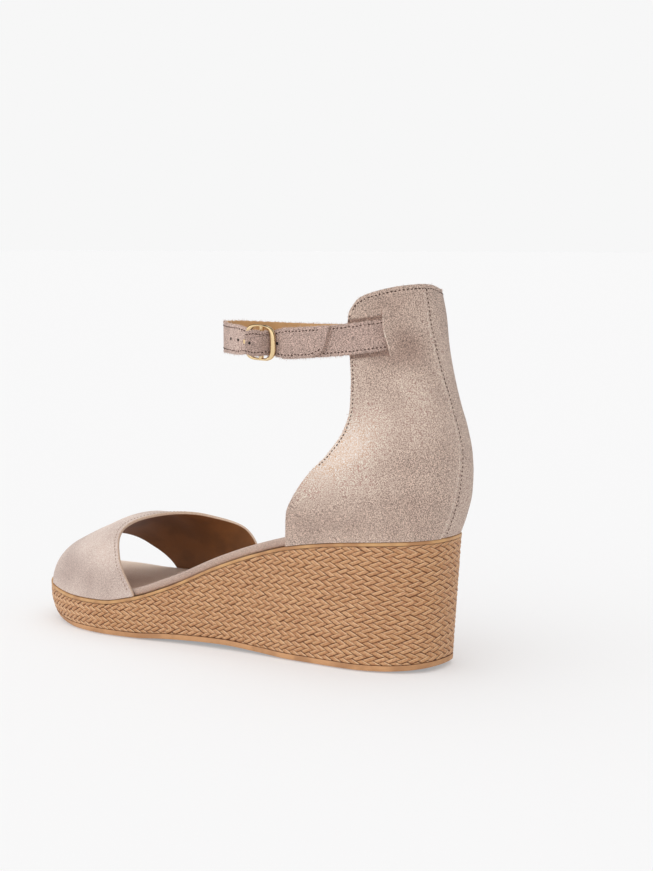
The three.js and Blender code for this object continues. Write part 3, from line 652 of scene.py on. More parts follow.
insole_rings = [
    insole_ring(INSOLE_SOFT, CLEARANCE, share=1.0),
    insole_ring(INSOLE_SOFT / 2, CLEARANCE),
    insole_ring(0.1, CLEARANCE + INSOLE_SOFT / 2),
    insole_ring(0, CLEARANCE + INSOLE_SOFT),
    insole_ring(0, 0, INSOLE_SOFT),
    insole_ring(0.15, 0, INSOLE_SOFT * 0.6),
    insole_ring(INSOLE_SOFT * 0.45, 0, INSOLE_SOFT * 0.2),
    insole_ring(INSOLE_SOFT * 1.2, 0, 0),
    *[
        insole_ring(INSOLE_SOFT * 1.5, 0, INSOLE_CUP * math.sin(share * math.pi / 2) ** 2, share)
        for share in (0.15, 0.3, 0.5, 0.75, 1.0)
    ],
]
insole_points = np.vstack(insole_rings)
# Painted light and shade on the top: dark on the lateral half, in the vamp's shade, and lighter toward the
# medial edge, where the light comes in.
insole_painted_shade = 0.14 + 0.86 * np.clip(insole_points[:, 0] / (HEEL_WIDTH / 2), 0, 1) ** 1.5
insole_piece = piece(
    "insole_cover",
    insole_points,
    [grid_faces(len(insole_rings), RING_POINTS, True)[:, ::-1]],
    [insole_edge, insole_suede],
    np.repeat([0] * 7 + [1] * (len(insole_rings) - 8), RING_POINTS),
    sharp=60,
    marks=dict(nap_and_shade=insole_painted_shade),
)
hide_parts("insole")
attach(insole_piece, "root")

# Vamp: one band of suede over brown lining leather, lasted from rim to rim and open at the toe.
# Its rear edge is turned under and sewn down with one row.
VAMP_HEIGHT = 40.0
VAMP_WALL = 1.8
UPPER_SEAT = 0.4
VAMP_FULLNESS = 2.29
VAMP_ROUND = 97
VAMP_ALONG = 41
vamp_edge_rows = dict(
    at=[0, 1 / 6, 2 / 6, 3 / 6, 4 / 6, 5 / 6, 1],
    rear=[0.671, 0.725, 0.758, 0.73, 0.671, 0.59, 0.542],
    front=[0.944, 0.938, 0.93, 0.921, 0.91, 0.885, 0.815],
)
vamp_crest_rows = dict(
    at=[0.53, 0.61, 0.69, 0.77, 0.85, 0.93, 1],
    height=[1.04, 0.96, 0.985, 1.005, 0.84, 0.575, 0.34],
    lean=[0.11, 0.09, 0.072, 0.053, 0.035, 0.019, 0.002],
)


def signed_power(values, power):
    """Size of each value raised to a power, with the value's own sign."""
    return np.sign(values) * np.abs(values) ** power


def vamp_point(share, run):
    """Superellipse arch across the foot; share goes round it and run from rear to front edge."""
    rear = SOLE_LENGTH * look(vamp_edge_rows, "rear", share)
    front = SOLE_LENGTH * look(vamp_edge_rows, "front", share)
    station = rear + (front - rear) * run
    left = edge(station, -1) + UPPER_SEAT
    right = edge(station, 1) - UPPER_SEAT
    angle = np.pi * share
    power = 2 / VAMP_FULLNESS
    crest = station / SOLE_LENGTH
    rise = np.maximum(np.sin(angle), 0) ** power
    lean = VAMP_HEIGHT * look(vamp_crest_rows, "lean", crest) * rise
    lift = VAMP_HEIGHT * look(vamp_crest_rows, "height", crest) * rise
    across = (left + right) / 2 - (right - left) / 2 * signed_power(np.cos(angle), power) + lean
    return np.stack([across, station, rim_height(station) + CLEARANCE + lift], -1)


def shell(name, points, wall_thickness, materials, soft, marks=None):
    """An outer face on a grid, given its wall by Solidify and soft rims by Bevel."""
    faces = grid_faces(*points.shape[:2])
    thing = piece(name, points, [faces], materials, sharp=180, marks=marks)
    solid = thing.modifiers.new("wall", "SOLIDIFY")
    solid.thickness = wall_thickness * MILLIMETRE
    solid.offset = -1
    solid.use_even_offset = False
    solid.material_offset = 1
    solid.material_offset_rim = 2
    bevel = thing.modifiers.new("soft_rim", "BEVEL")
    bevel.width = soft * MILLIMETRE
    bevel.segments = 3
    bevel.limit_method = "ANGLE"
    bevel.angle_limit = math.radians(50)
    bevel.harden_normals = False
    return thing


def bell(offset, power=2):
    """Bell of height one: e to the minus offset raised to an even power."""
    return np.exp(-(offset**power))


def hills(ground, rows, across, up):
    """A ground value plus a bell for each row of place, reach both ways and amount."""
    for x, y, reach, tall, amount in rows:
        ground = ground + amount * np.exp(-(((across - x) / reach) ** 2) - ((up - y) / tall) ** 2)
    return ground


upper_suede = suede("upper_suede", tone(232, 210, 194), tone(149, 122, 109), 0.6, 0.6, 0.3, "nap_and_shade")
vamp_suede = suede("vamp_suede", tone(229, 210, 198), tone(173, 152, 143), 1.2, 0.28, 0.14, "nap_and_shade")
brown_lining = mottled("brown_lining", tone(128, 80, 38), tone(112, 69, 31), 0.6, 70, (900, 3))
turned_edge = suede("turned_edge", tone(224, 200, 180), tone(192, 166, 144), 0.5, 0.16)
tan_lining = mottled("tan_lining", tone(202, 156, 104), tone(188, 143, 93), 0.55, 70, (900, 3))

even_share = np.linspace(0, 1, VAMP_ROUND)
vamp_share, vamp_run = np.meshgrid(
    (1 - np.cos(np.pi * even_share)) / 2 * 0.5 + even_share * 0.5,
    np.linspace(0, 1, VAMP_ALONG),
)
vamp_grid = vamp_point(vamp_share, vamp_run)
# Lighter and darker patches of the vamp, partly blotches of the nap and partly painted light and shade:
# share, run, reach round and along, and amount.
vamp_nap_and_light_patches = [
    (0.07, 0.5, 0.06, 0.6, -0.238),
    (0.2, 0.3, 0.08, 0.3, 0.315),
    (0.16, 0.75, 0.06, 0.18, -0.21),
    (0.33, 0.65, 0.1, 0.3, 0.14),
    (0.27, 0.12, 0.05, 0.15, -0.112),
    (0.42, 0.3, 0.1, 0.25, 0.098),
    (0.8, 0.5, 0.1, 0.4, -0.105),
]
vamp_nap_and_shade = hills(0.5 + 0 * vamp_share, vamp_nap_and_light_patches, vamp_share, vamp_run)
vamp_slots = [vamp_suede, brown_lining, turned_edge]
vamp_band = shell("vamp_band", vamp_grid, VAMP_WALL, vamp_slots, 0.55, dict(nap_and_shade=vamp_nap_and_shade))
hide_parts("vamp")
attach(vamp_band, "root")

# Heel counter: one piece of suede from the lateral front edge round the heel to the medial one,
# lapped at the back seam, lined with tan leather and sewn along its edges.
COLLAR_HEIGHT = 183.0
COLLAR_WIDTH = 49.0
COUNTER_LENGTH = 75.0
QUARTER_WALL = 2.0
STRAP_WIDTH = 14.6
STRAP_HEIGHT = 0.8735 * COLLAR_HEIGHT
STRAP_DROOP = 7.0
LOOP_FRONT = 127.0
STRAP_FALL = 2.1
SLIT_STATION = 23.0
SLIT_TURN = -0.59
FLAP_HEIGHT = 160.3
FLAP_REACH = 10.6
FLAP_RISE = 1.9
FLAP_LENGTH = 0.2
FLAP_FOOT = 0.005
SEAM_STEP = 0.45
LAP_SHARE = 0.02
counter_rows = dict(
    at=[0, 0.07, 0.17, 0.25, 0.32, 0.43, 0.51, 0.61, 0.76, 0.86, 1],
    back=[0.005, -0.035, -0.073, -0.08, -0.073, -0.036, 0.003, 0.04, 0.084, 0.1, 0.152],
    front=[0.996, 0.985, 0.9, 0.797, 0.679, 0.56, 0.53, 0.534, 0.56, 0.576, 0.577],
    narrow=[0.07, -0.04, -0.11, -0.09, -0.02, 0.32, 0.56, 0.77, 0.98, 1.08, 0.98],
)
collar_rows = dict(
    at=[0, 0.12, 0.35, 0.52, 0.72, 0.81, 0.89, 0.943, 0.988, 1],
    lateral=[0, 0.01, 0.055, 0.13, 0.27, 0.36, 0.5, 0.7, 0.95, 1.25],
    medial=[0, 0.03, 0.2, 0.27, 0.36, 0.43, 0.55, 0.72, 0.95, 1.25],
)
seam_rows = dict(
    at=[0, 0.23, 0.37, 0.52, 0.66, 0.77, 0.86, 1],
    turn=[-0.09, -0.05, -0.01, -0.02, -0.09, -0.14, -0.19, -0.17],
)
# Soft dents and swellings of the counter: turn, height, reach along and up, and depth.
counter_dents = [
    (-0.62, 148, 0.14, 9, -0.5),
    (-0.5, 131, 0.2, 7, 0.45),
    (-0.72, 118, 0.13, 10, -0.45),
    (-0.3, 112, 0.14, 13, 0.35),
    (-0.4, 88, 0.16, 12, -0.35),
    (0.35, 120, 0.2, 14, 0.5),
    (0.5, 95, 0.2, 15, -0.4),
    (-0.3, 166, 0.14, 8, 0.4),
]
# Where the counter is lighter or darker, partly the nap and partly painted light and shade: turn, height,
# reach along and up, and amount.
counter_nap_and_light_patches = [
    (-0.55, 139, 0.16, 6, 0.17),
    (-0.78, 122, 0.14, 9, 0.15),
    (-0.93, 104, 0.22, 18, 0.6),
    (-0.35, 128, 0.16, 7, 0.05),
    (-0.72, 148, 0.2, 4, -0.15),
    (-0.32, 154, 0.24, 12, -0.4),
    (-0.15, 130, 0.1, 9, -0.1),
    (-0.22, 106, 0.2, 9, -0.13),
    (-0.6, 99, 0.2, 5, -0.1),
    (-0.6, 174, 0.4, 6, -0.15),
    (-0.75, 88, 0.3, 5, 0.05),
    (-0.45, 82, 0.3, 7, -0.15),
    (-0.6, 70, 0.5, 6, -0.15),
    (0.12, 100, 0.1, 30, 0.06),
    (0.12, 150, 0.14, 14, 0.06),
    (0.7, 130, 0.2, 14, -0.15),
    (0.6, 90, 0.25, 12, 0.1),
]


def counter_point(turn, height):
    """Rim outline scaled to the counter's width, set back by the back line and the turn squared."""
    share = np.clip((height - HEEL_HEIGHT) / (COLLAR_HEIGHT - HEEL_HEIGHT), 0, 1)
    back = COUNTER_LENGTH * look(counter_rows, "back", share)
    front = COUNTER_LENGTH * look(counter_rows, "front", share)
    width = HEEL_WIDTH + (COLLAR_WIDTH - HEEL_WIDTH) * look(counter_rows, "narrow", share)
    behind = (front - back) * turn**2
    start = rim[:, 1].min()
    half = np.where(turn < 0, edge(start + behind, -1), edge(start + behind, 1))
    half = np.where(np.abs(turn) < 1e-6, 0, half)
    return np.stack([half * width / HEEL_WIDTH, back + behind, height + 0 * turn], -1)


def normals(points):
    """Unit normals of a grid, from the cross product of its two directions."""
    return unit(np.cross(np.gradient(points, axis=1), np.gradient(points, axis=0)))


def counter_place(turn, share):
    """Counter point by the seam's own turn and a share of the way from the rim to the collar."""
    bent = turn + look(seam_rows, "turn", share) * (1 - turn**2)
    seat = rim_height(counter_point(bent, np.full(np.shape(bent), HEEL_HEIGHT))[..., 1]) + CLEARANCE
    lateral = look(collar_rows, "lateral", np.abs(turn))
    drop = np.where(turn < 0, lateral, look(collar_rows, "medial", np.abs(turn)))
    return counter_point(bent, seat + (COLLAR_HEIGHT - STRAP_WIDTH * drop - seat) * share)


even_turns = np.sin(np.pi / 2 * np.linspace(-1, 1, 181))
lap_turns = [-LAP_SHARE * 1.4, -LAP_SHARE, -LAP_SHARE * 0.6, 0]
slit_turns = np.linspace(SLIT_TURN - 0.03, SLIT_TURN + 0.03, 16)
quarter_turns = np.unique(np.concatenate([even_turns, lap_turns, slit_turns]))
turn_grid, up_grid = np.meshgrid(quarter_turns, np.linspace(0, 1, 141))
quarter_grid = counter_place(turn_grid, up_grid)
quarter_normals = normals(quarter_grid)
quarter_height = quarter_grid[..., 2]
relief_depth = np.interp(turn_grid, [-LAP_SHARE * 1.2, -LAP_SHARE * 0.8], [SEAM_STEP, 0.0])
relief_depth = hills(relief_depth, counter_dents, turn_grid, quarter_height)
# The flap behind the slit stands up over the strap's end and is a little taller than the strap.
flap_reach = bell((quarter_height - FLAP_HEIGHT) / FLAP_REACH, 16)
from_slit = turn_grid - SLIT_TURN
flap = bell(from_slit / np.where(from_slit > 0, FLAP_LENGTH, FLAP_FOOT))
relief_depth += FLAP_RISE * flap_reach * flap
# Painted highlight on the flap's edge, painted shadow in the slit before it, and a painted highlight on the
# lap's edge.
counter_nap_and_shade = hills(0.46 + 0 * relief_depth, counter_nap_and_light_patches, turn_grid, quarter_height)
counter_nap_and_shade += 0.4 * flap_reach * bell((from_slit - 0.006) / 0.009)
counter_nap_and_shade -= 0.9 * flap_reach * bell((from_slit + 0.01) / 0.007)
counter_nap_and_shade += 0.35 * bell((turn_grid + LAP_SHARE * 1.3) / 0.01)
# Painted shadow on the counter just above and below the strap, up to the slit.
strap_fall = STRAP_DROOP * STRAP_FALL * (quarter_grid[..., 1] - SLIT_STATION) / (LOOP_FRONT - SLIT_STATION)
for beside, tall in ((STRAP_WIDTH / 2 + 0.9, 0.7), (-STRAP_WIDTH / 2 - 1.0, 1.0)):
    near = bell((quarter_height - (STRAP_HEIGHT - strap_fall) - beside) / tall)
    counter_nap_and_shade -= 0.9 * near / (1 + np.exp(from_slit / 0.012))
quarter_grid = quarter_grid + quarter_normals * relief_depth[..., None]
counter_slots = [upper_suede, tan_lining, turned_edge]
counter = shell("heel_counter", quarter_grid, QUARTER_WALL, counter_slots, 0.6, dict(nap_and_shade=counter_nap_and_shade))
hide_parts("quarter")
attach(counter, "root")


def counter_surface(turn, share):
    """Points and normals of the dressed counter at turns and shares of its height."""
    row = share * (quarter_grid.shape[0] - 1)
    column = np.interp(turn, quarter_turns, np.arange(len(quarter_turns)))
    r = np.clip(row.astype(int), 0, quarter_grid.shape[0] - 2)
    c = np.clip(column.astype(int), 0, len(quarter_turns) - 2)
    fr, fc = (row - r)[:, None], (column - c)[:, None]

    def blend(field):
        low = field[r, c] * (1 - fc) + field[r, c + 1] * fc
        high = field[r + 1, c] * (1 - fc) + field[r + 1, c + 1] * fc
        return low * (1 - fr) + high * fr

    return blend(quarter_grid), blend(quarter_normals)


# Ankle straps: suede over tan lining, sewn along both edges. A short one holds the buckle and a
# long one comes round the ankle, through the ring and back under it, with a slanted free tip.
STRAP_THICKNESS = 1.8
STRAP_STAND_OFF = 0.75
STRAP_PINCH = 0.24
STRAP_SLACK = 2.0
STRAP_SKIVE = 0.8
LOOP_WIDTH = 57.0
SLIT_DEPTH = 1.0
BUCKLE_STATION = 87.7
TIP_LENGTH = 38.3
RING_HEIGHT = 17.2
RING_LENGTH = 20.0
RING_END = 2.8
RING_SIDE = 1.2
RING_THICKNESS = 1.8
RING_FULLNESS = 3.6
BAR_RADIUS = 1.1
loop_rows = dict(
    across=[-0.945, -0.985, -1, -0.96, -0.8, -0.45, 0, 0.45, 0.8, 0.96, 1, 0.985, 0.945],
    along=[0.3, 0.42, 0.54, 0.7, 0.85, 0.965, 1, 0.965, 0.85, 0.7, 0.54, 0.42, 0.3],
    down=[0.56, 0.7, 0.78, 0.74, 0.66, 0.6, 0.62, 0.72, 0.83, 0.88, 0.84, 0.74, 0.58],
)
over_bar_rows = dict(
    at=[-3, -1.4, -1, -0.6, -0.48, -0.34, -0.1, 0.24, 0.36, 0.43, 0.49, 0.55, 0.64, 1.2, 1.8],
    rise=[0, 0, 0, 0.05, 0.45, 0.92, 1, 1, 0.96, 0.78, 0.36, 0.06, 0, 0, 0],
    pinch=[0, 0, 0.4, 0.9, 0.9, 0.75, 0.6, 0.9, 1, 1, 1, 1, 1, 0.5, 0],
)
ring_rows = dict(at=[-1, -0.7, 0, 0.7, 1], lift=[1, 1, 0, 0.12, 0.12])
tip_rows = dict(at=[0, 0.33, 0.76], trim=[0.92, 0.18, 0])
slit_rows = dict(at=[0, 0.2, 0.6], out=[-1, -0.75, 0], thick=[1, 0.8, 0])


def loop_curve():
    """Inner line of the ankle loop: along the counter from slit to slit through the loop table."""
    beside = np.array([0, 0.05, 0.1, 0.145, 0.185])

    def along_counter(way):
        height = STRAP_HEIGHT - STRAP_DROOP * beside * STRAP_FALL
        station = SLIT_STATION + (LOOP_FRONT - SLIT_STATION) * beside
        share = (height - HEEL_HEIGHT) / (COLLAR_HEIGHT - HEEL_HEIGHT)
        back = COUNTER_LENGTH * look(counter_rows, "back", share)
        front = COUNTER_LENGTH * look(counter_rows, "front", share)
        turn = way * np.sqrt(np.minimum((station - back) / (front - back), 1))
        across = counter_point(turn, height)[:, 0] + way * (STRAP_STAND_OFF + (SEAM_STEP if way < 0 else 0))
        return np.column_stack([across, station, height])

    front_part = np.column_stack(
        [
            np.array(loop_rows["across"]) * LOOP_WIDTH / 2,
            SLIT_STATION + (LOOP_FRONT - SLIT_STATION) * np.array(loop_rows["along"]),
            STRAP_HEIGHT - STRAP_DROOP * np.array(loop_rows["down"]),
        ]
    )
    return rounded(np.vstack([along_counter(-1), front_part, along_counter(1)[::-1]]), False)


def headings(line):
    """Direction of a line at each of its points, from its neighbours and their distance."""
    arc = lengths(line)
    return np.gradient(line, arc + 1e-9 * np.arange(len(arc)), axis=0)


loop_line = loop_curve()
loop_arc = lengths(loop_line)
loop_length = loop_arc[-1]
loop_tangent = headings(loop_line)


def on_loop(along, out, up):
    """Point at a distance along the loop, out from its inner line and up the strap's width."""
    inside_loop = np.clip(along, 0, loop_length)
    point = sampled(inside_loop, loop_arc, loop_line)
    ahead = unit(sampled(inside_loop, loop_arc, loop_tangent))
    outward = unit(np.stack([-ahead[..., 1], ahead[..., 0], 0 * ahead[..., 0]], -1))
    upward = unit(np.cross(ahead, outward))
    beyond = (along - inside_loop)[..., None]
    return point + ahead * beyond + outward * out[..., None] + upward * up[..., None]


lateral_half = slice(len(loop_line) // 2)
bar_along = float(np.interp(BUCKLE_STATION, loop_line[lateral_half, 1], loop_arc[lateral_half]))
tip_along = bar_along - TIP_LENGTH
half_ring = RING_LENGTH / 2
FOLD_RADIUS = BAR_RADIUS + CLEARANCE + STRAP_THICKNESS / 2
FOLD_TURN = 200
FOLD_ROWS = 28
FOLD_PINCH = 0.9
SHORT_STRAP_ROWS = 110
bar_out = STRAP_THICKNESS / 2 + FOLD_RADIUS


def slit_end(distance):
    """Level and thickness of a strap near its end, skived and let into the counter's wall."""
    sunk = STRAP_STAND_OFF + SLIT_DEPTH / 2 + STRAP_THICKNESS / 2
    at = distance / STRAP_WIDTH
    out = STRAP_THICKNESS / 2 + sunk * look(slit_rows, "out", at)
    return out, STRAP_THICKNESS - STRAP_SKIVE * look(slit_rows, "thick", at)


def strap_places(long_one):
    """Along, out, thickness, pinch and lower trim of a strap's middle line, as columns."""
    if long_one:
        along = np.concatenate(
            [
                np.linspace(tip_along, bar_along - half_ring, 50)[:-1],
                np.linspace(bar_along - half_ring, bar_along + half_ring, 60)[:-1],
                np.linspace(bar_along + half_ring, loop_length, 150),
            ]
        )
        end_out, thick = slit_end(loop_length - along)
        at = (along - bar_along) / half_ring
        low = np.where(along < bar_along, 1.5 * STRAP_THICKNESS + CLEARANCE, end_out)
        crest = bar_out + BAR_RADIUS + 2 * CLEARANCE + 1.5 * STRAP_THICKNESS + STRAP_SLACK
        out = low + (crest - low) * look(over_bar_rows, "rise", at)
        trim = STRAP_WIDTH * look(tip_rows, "trim", (along - tip_along) / STRAP_WIDTH)
        trim = np.where(along - tip_along < STRAP_WIDTH, trim, 0)
        return np.stack([along, out, thick, look(over_bar_rows, "pinch", at), trim], 1)
    along = np.linspace(0, bar_along - 0.5, SHORT_STRAP_ROWS)
    out, thick = slit_end(along)
    pinch = FOLD_PINCH * np.clip((along - bar_along + half_ring + 2) / 4, 0, 1)
    straight = np.stack([along, out, thick, pinch, 0 * along], 1)
    turn = np.radians(np.linspace(0, FOLD_TURN, FOLD_ROWS))
    even = np.ones(FOLD_ROWS)
    fold = [bar_along + FOLD_RADIUS * np.sin(turn), bar_out - FOLD_RADIUS * np.cos(turn)]
    fold += [STRAP_THICKNESS * even, FOLD_PINCH * even, 0 * even]
    return np.vstack([straight, np.stack(fold, 1)])


def strap_frame(places):
    """Unit run of the strap's middle line in the along and out plane."""
    return unit(np.gradient(places[:, :2], axis=0))


def strap_edges(places):
    """Upper and lower edge across a strap: half its width, drawn in by the pinch, and trimmed."""
    high = STRAP_WIDTH / 2 * (1 - STRAP_PINCH * places[:, 3])
    return high, places[:, 4] - high


def strap_point(places, run, out, up):
    """Point beside the middle line, out across the thickness and up the width."""
    return on_loop(places[:, 0] - run[:, 1] * out, places[:, 1] + run[:, 0] * out, up)


def strap(name, long_one, materials):
    """A ribbon with soft edges: an outer suede skin, a turned edge and a lining inside."""
    places = strap_places(long_one)
    run = strap_frame(places)
    half = places[:, 2] / 2
    high, low = strap_edges(places)
    ripple = 0.1 * np.sin(places[:, 0] * 1.7) + 0.08 * np.sin(places[:, 0] * 4.1 + 1)
    high = high + ripple
    low = low - np.roll(ripple, 7)
    rows = []
    soft = 0.5
    for share in (0.03, 0.1, 0.2, 0.35, 0.5, 0.65, 0.8, 0.9, 0.97):
        swell = 0.12 * (1 - (2 * share - 1) ** 4)
        rows.append((half + swell - 0.06, low + (high - low) * share))
    rows += [(half - soft * 0.35, high - 0.12), (half * 0.4, high), (-half * 0.4, high), (-half, high - soft)]
    rows += [(-half, low + (high - low) * share) for share in (0.75, 0.5, 0.25)]
    rows += [(-half, low + soft), (-half * 0.4, low), (half * 0.4, low), (half - soft * 0.35, low + 0.12)]
    points = np.stack([strap_point(places, run, out, up) for out, up in rows], 1)
    count, around = points.shape[:2]
    slots = np.tile([0] * 10 + [1] + [2] * 5 + [1] + [0] * (around - 17), count - 1)
    corner = np.arange(1, around - 1)
    end = np.stack([0 * corner, corner, corner + 1], 1)
    faces = [grid_faces(count, around, True), end[:, ::-1], end + (count - 1) * around]
    from_end = loop_length - places[:, 0] if long_one else places[:, 0]
    # Painted shadow where a strap's end goes into the slit; the long strap is also darker inside the ring and
    # lighter just past it.
    nap_and_shade = 0.5 - 1.1 * bell(from_end / 1.1, 4)
    if long_one:
        nap_and_shade -= 0.25 * bell((places[:, 0] - bar_along) / (half_ring * 0.9), 4)
        nap_and_shade += 0.3 * bell((places[:, 0] - bar_along - half_ring * 1.9) / (half_ring * 0.8), 4)
    slots = np.concatenate([slots, np.ones(2 * len(end))])
    return piece(name, points, faces, materials, slots, sharp=60, marks=dict(nap_and_shade=np.repeat(nap_and_shade, around)))


strap_suede = suede("strap_suede", tone(207, 181, 169), tone(150, 123, 112), 0.5, 0.6, 0.3, "nap_and_shade")
strap_slots = [strap_suede, turned_edge, tan_lining]
long_strap = strap("long_strap", True, strap_slots)
short_strap = strap("short_strap", False, strap_slots)
for thing, node in ((long_strap, "ankle_strap"), (short_strap, "buckle_strap")):
    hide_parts(node)
    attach(thing, "root")

# Buckle: a cast ring with a soft oval outline, wide at both ends, with its centre bar and prong,
# all polished pale gold. The prong keeps the solid's shape.
gold = plain("pale_gold", tone(232, 204, 158), 0.18, metallic=1.0)


def buckle_ring():
    """Superellipse tube on the loop: section of end width and side width, softened at its corners."""
    angle = circle(96)[:, None]
    section = circle(16)
    grow = 0.5 + 0.5 * signed_power(np.cos(section), 0.7)
    out = RING_THICKNESS / 2 * signed_power(np.sin(section), 0.7)
    power = 2 / RING_FULLNESS
    along = signed_power(np.cos(angle), power) * (half_ring - RING_END + RING_END * grow)
    up = signed_power(np.sin(angle), power) * (RING_HEIGHT / 2 - RING_SIDE + RING_SIDE * grow)
    lift = (STRAP_THICKNESS + 2 * CLEARANCE) * look(ring_rows, "lift", along / half_ring)
    return on_loop(bar_along + along, bar_out + lift + out[None], up)


ring_points = buckle_ring()
bar_turn = circle(16)[None, :]
bar_up = np.array([-1.0, 1.0])[:, None] * (RING_HEIGHT / 2 - RING_SIDE / 2)
bar_points = on_loop(
    bar_along + BAR_RADIUS * np.cos(bar_turn) + 0 * bar_up,
    bar_out + BAR_RADIUS * np.sin(bar_turn) + 0 * bar_up,
    bar_up + 0 * bar_turn,
)
ring_rows_count, ring_around = ring_points.shape[:2]
ring_faces = grid_faces(ring_rows_count + 1, ring_around, True) % (ring_rows_count * ring_around)
buckle = piece(
    "buckle_ring",
    np.vstack([ring_points.reshape(-1, 3), bar_points.reshape(-1, 3)]),
    [ring_faces, grid_faces(2, 16, True) + ring_rows_count * ring_around],
    [gold],
    sharp=180,
)
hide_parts("buckle_frame")
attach(buckle, "root")
refinished("buckle_prong", gold)

# Stitching: single rows of taupe yarn pulled into the nap, one short dash for each stitch, and the punched
# holes of the strap.
# All dashes of a row are one mesh.
STITCH_PITCH = 1.9
STITCH_LENGTH = 1.15
STITCH_WIDTH = 0.6
STITCH_DEPTH = 0.48
STITCH_RINGS = 5
STITCH_SIDES = 8
loose = np.random.default_rng(11)
# The dark stitch colour is partly the yarn and partly painted shade of the needle holes.
thread_and_hole_shade = plain("taupe_thread_hole_shade", tone(72, 50, 40), 0.9)
pale_thread = plain("pale_thread", tone(166, 142, 128), 0.9)
hole_painted_shade = plain("hole_painted_shade", tone(40, 30, 26), 0.95)


def stitch_row(name, line, outward, pitch=STITCH_PITCH, slot="upper", yarn=thread_and_hole_shade):
    """Ellipsoids set along a line at even distances, half sunk, turned along the line."""
    arc = lengths(line)
    count = max(int(arc[-1] / pitch), 1)
    at = (np.arange(count) + 0.5) * arc[-1] / count
    centre = sampled(at, arc, line)
    ahead = unit(sampled(at, arc, headings(line)))
    normal = unit(sampled(at, arc, outward))
    across = np.cross(normal, ahead)
    ahead = ahead + across * loose.normal(0, 0.12, (count, 1))
    centre = centre + across * loose.normal(0, 0.07, (count, 1))
    polar = np.linspace(0, np.pi, STITCH_RINGS + 2)[1:-1][:, None]
    turn = circle(STITCH_SIDES)[None, :]
    girth = np.sin(polar)
    ball = np.stack([np.cos(polar) + 0 * turn, girth * np.cos(turn), girth * np.sin(turn)], -1)
    ball = np.vstack([ball.reshape(-1, 3), [[1, 0, 0], [-1, 0, 0]]])
    size = np.array([STITCH_LENGTH, STITCH_WIDTH, STITCH_DEPTH]) / 2
    spots = (ball * size)[None] * loose.uniform(0.8, 1.2, (count, 1, 3))
    points = centre[:, None] + spots[..., :1] * ahead[:, None] + spots[..., 1:2] * across[:, None]
    points = points + spots[..., 2:] * normal[:, None]
    ring = np.arange(STITCH_SIDES)
    after = (ring + 1) % STITCH_SIDES
    last = (STITCH_RINGS - 1) * STITCH_SIDES
    pole = STITCH_RINGS * STITCH_SIDES + 0 * ring
    caps = np.vstack([np.stack([ring, pole, after], 1), np.stack([last + after, pole + 1, last + ring], 1)])
    step = (np.arange(count) * len(ball))[:, None, None]
    quads = step + grid_faces(STITCH_RINGS, STITCH_SIDES, True)
    faces = [quads.reshape(-1, 4), (step + caps).reshape(-1, 3)]
    thing = piece(name, points, faces, [yarn], sharp=180)
    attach(thing, "root")


EDGE_MARGIN = 1.5
COLLAR_MARGIN = 2.0
VAMP_MARGIN = 2.2
COARSE_PITCH = 2.0
top_share = 1 - COLLAR_MARGIN / (COLLAR_HEIGHT - HEEL_HEIGHT) * np.ones(200)
stitch_row("collar_stitching", *counter_surface(np.linspace(-0.95, 0.95, 200), top_share))
edge_share = np.linspace(0.36, 0.985, 220)
back_station = counter_surface(0 * edge_share, edge_share)[0][:, 1]
for way, word in ((-1, "lateral"), (1, "medial")):
    edge_station = counter_surface(way + 0 * edge_share, edge_share)[0][:, 1]
    margin = EDGE_MARGIN / (edge_station - back_station) / 2
    stitch_row(word + "_edge_stitching", *counter_surface(way * (1 - margin * 0.95), edge_share))
seam_share = np.linspace(0.01, 0.985, 220)
stitch_row("back_seam_stitching", *counter_surface(0.018 + 0 * seam_share, seam_share), COARSE_PITCH)
vamp_lines = np.linspace(0.02, 0.98, 200)
rear_end, front_end = (look(vamp_edge_rows, column, vamp_lines) for column in ("rear", "front"))
rear_run = VAMP_MARGIN / (SOLE_LENGTH * (front_end - rear_end))
rear_line = vamp_point(vamp_lines, rear_run)
rear_beside = vamp_point(vamp_lines, rear_run + 0.02)
rear_normal = np.cross(np.gradient(rear_line, axis=0), rear_beside - rear_line)
stitch_row("vamp_stitching", rear_line, rear_normal, COARSE_PITCH, yarn=pale_thread)


def strap_row(name, long_one, start, stop, offset):
    """A stitch row on a strap's outer face, a little in from its upper or lower edge."""
    places = strap_places(long_one)
    run = strap_frame(places)
    high, low = strap_edges(places)
    up = high - offset if offset > 0 else low - offset
    keep = (places[:, 0] >= start) & (places[:, 0] <= stop)
    if not long_one:
        keep[SHORT_STRAP_ROWS:] = False
    line = strap_point(places, run, places[:, 2] / 2 + 0.03, up)[keep]
    beyond = strap_point(places, run, places[:, 2] / 2 + 1.03, up)[keep]
    stitch_row(name, line, beyond - line, slot="strap")


for word, offset in (("upper", 1.7), ("lower", -1.7)):
    strap_row("long_strap_" + word + "_stitching", True, tip_along + 5, loop_length - 1, offset)
    strap_row("short_strap_" + word + "_stitching", False, 1, tip_along + 6, offset)


def holes(name, spots, radius):
    """Round dark discs of painted shade for the punched holes, on the long strap's outer face at distances
    along it from the bar.
    """
    places = strap_places(True)
    run = strap_frame(places)
    order = np.arange(len(places))
    turn = circle(16)
    discs = []
    for spot in spots:
        index = np.interp(bar_along + spot + radius * np.cos(turn), places[:, 0], order)
        here = sampled(index, order, places)
        ahead = sampled(index, order, run)
        discs.append(strap_point(here, ahead, here[:, 2] / 2 + 0.1, radius * np.sin(turn)))
    fan = np.arange(16)[None] + 16 * np.arange(len(spots))[:, None]
    thing = piece(name, np.array(discs), [fan], [hole_painted_shade], sharp=180)
    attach(thing, "root")


holes("strap_holes", [-9.9, 1.2, 17.5, 24.0], 0.75)

# Fuzz: short loose fibres of the suede along the cut edges of the straps, collar and counter, each
# one a thin triangle, with all fibres of an edge joined in one mesh.
FIBRE_LENGTH = 0.6
FIBRE_WIDTH = 0.13
fibre_suede = plain("fibre_suede", tone(204, 180, 167), 1.0)


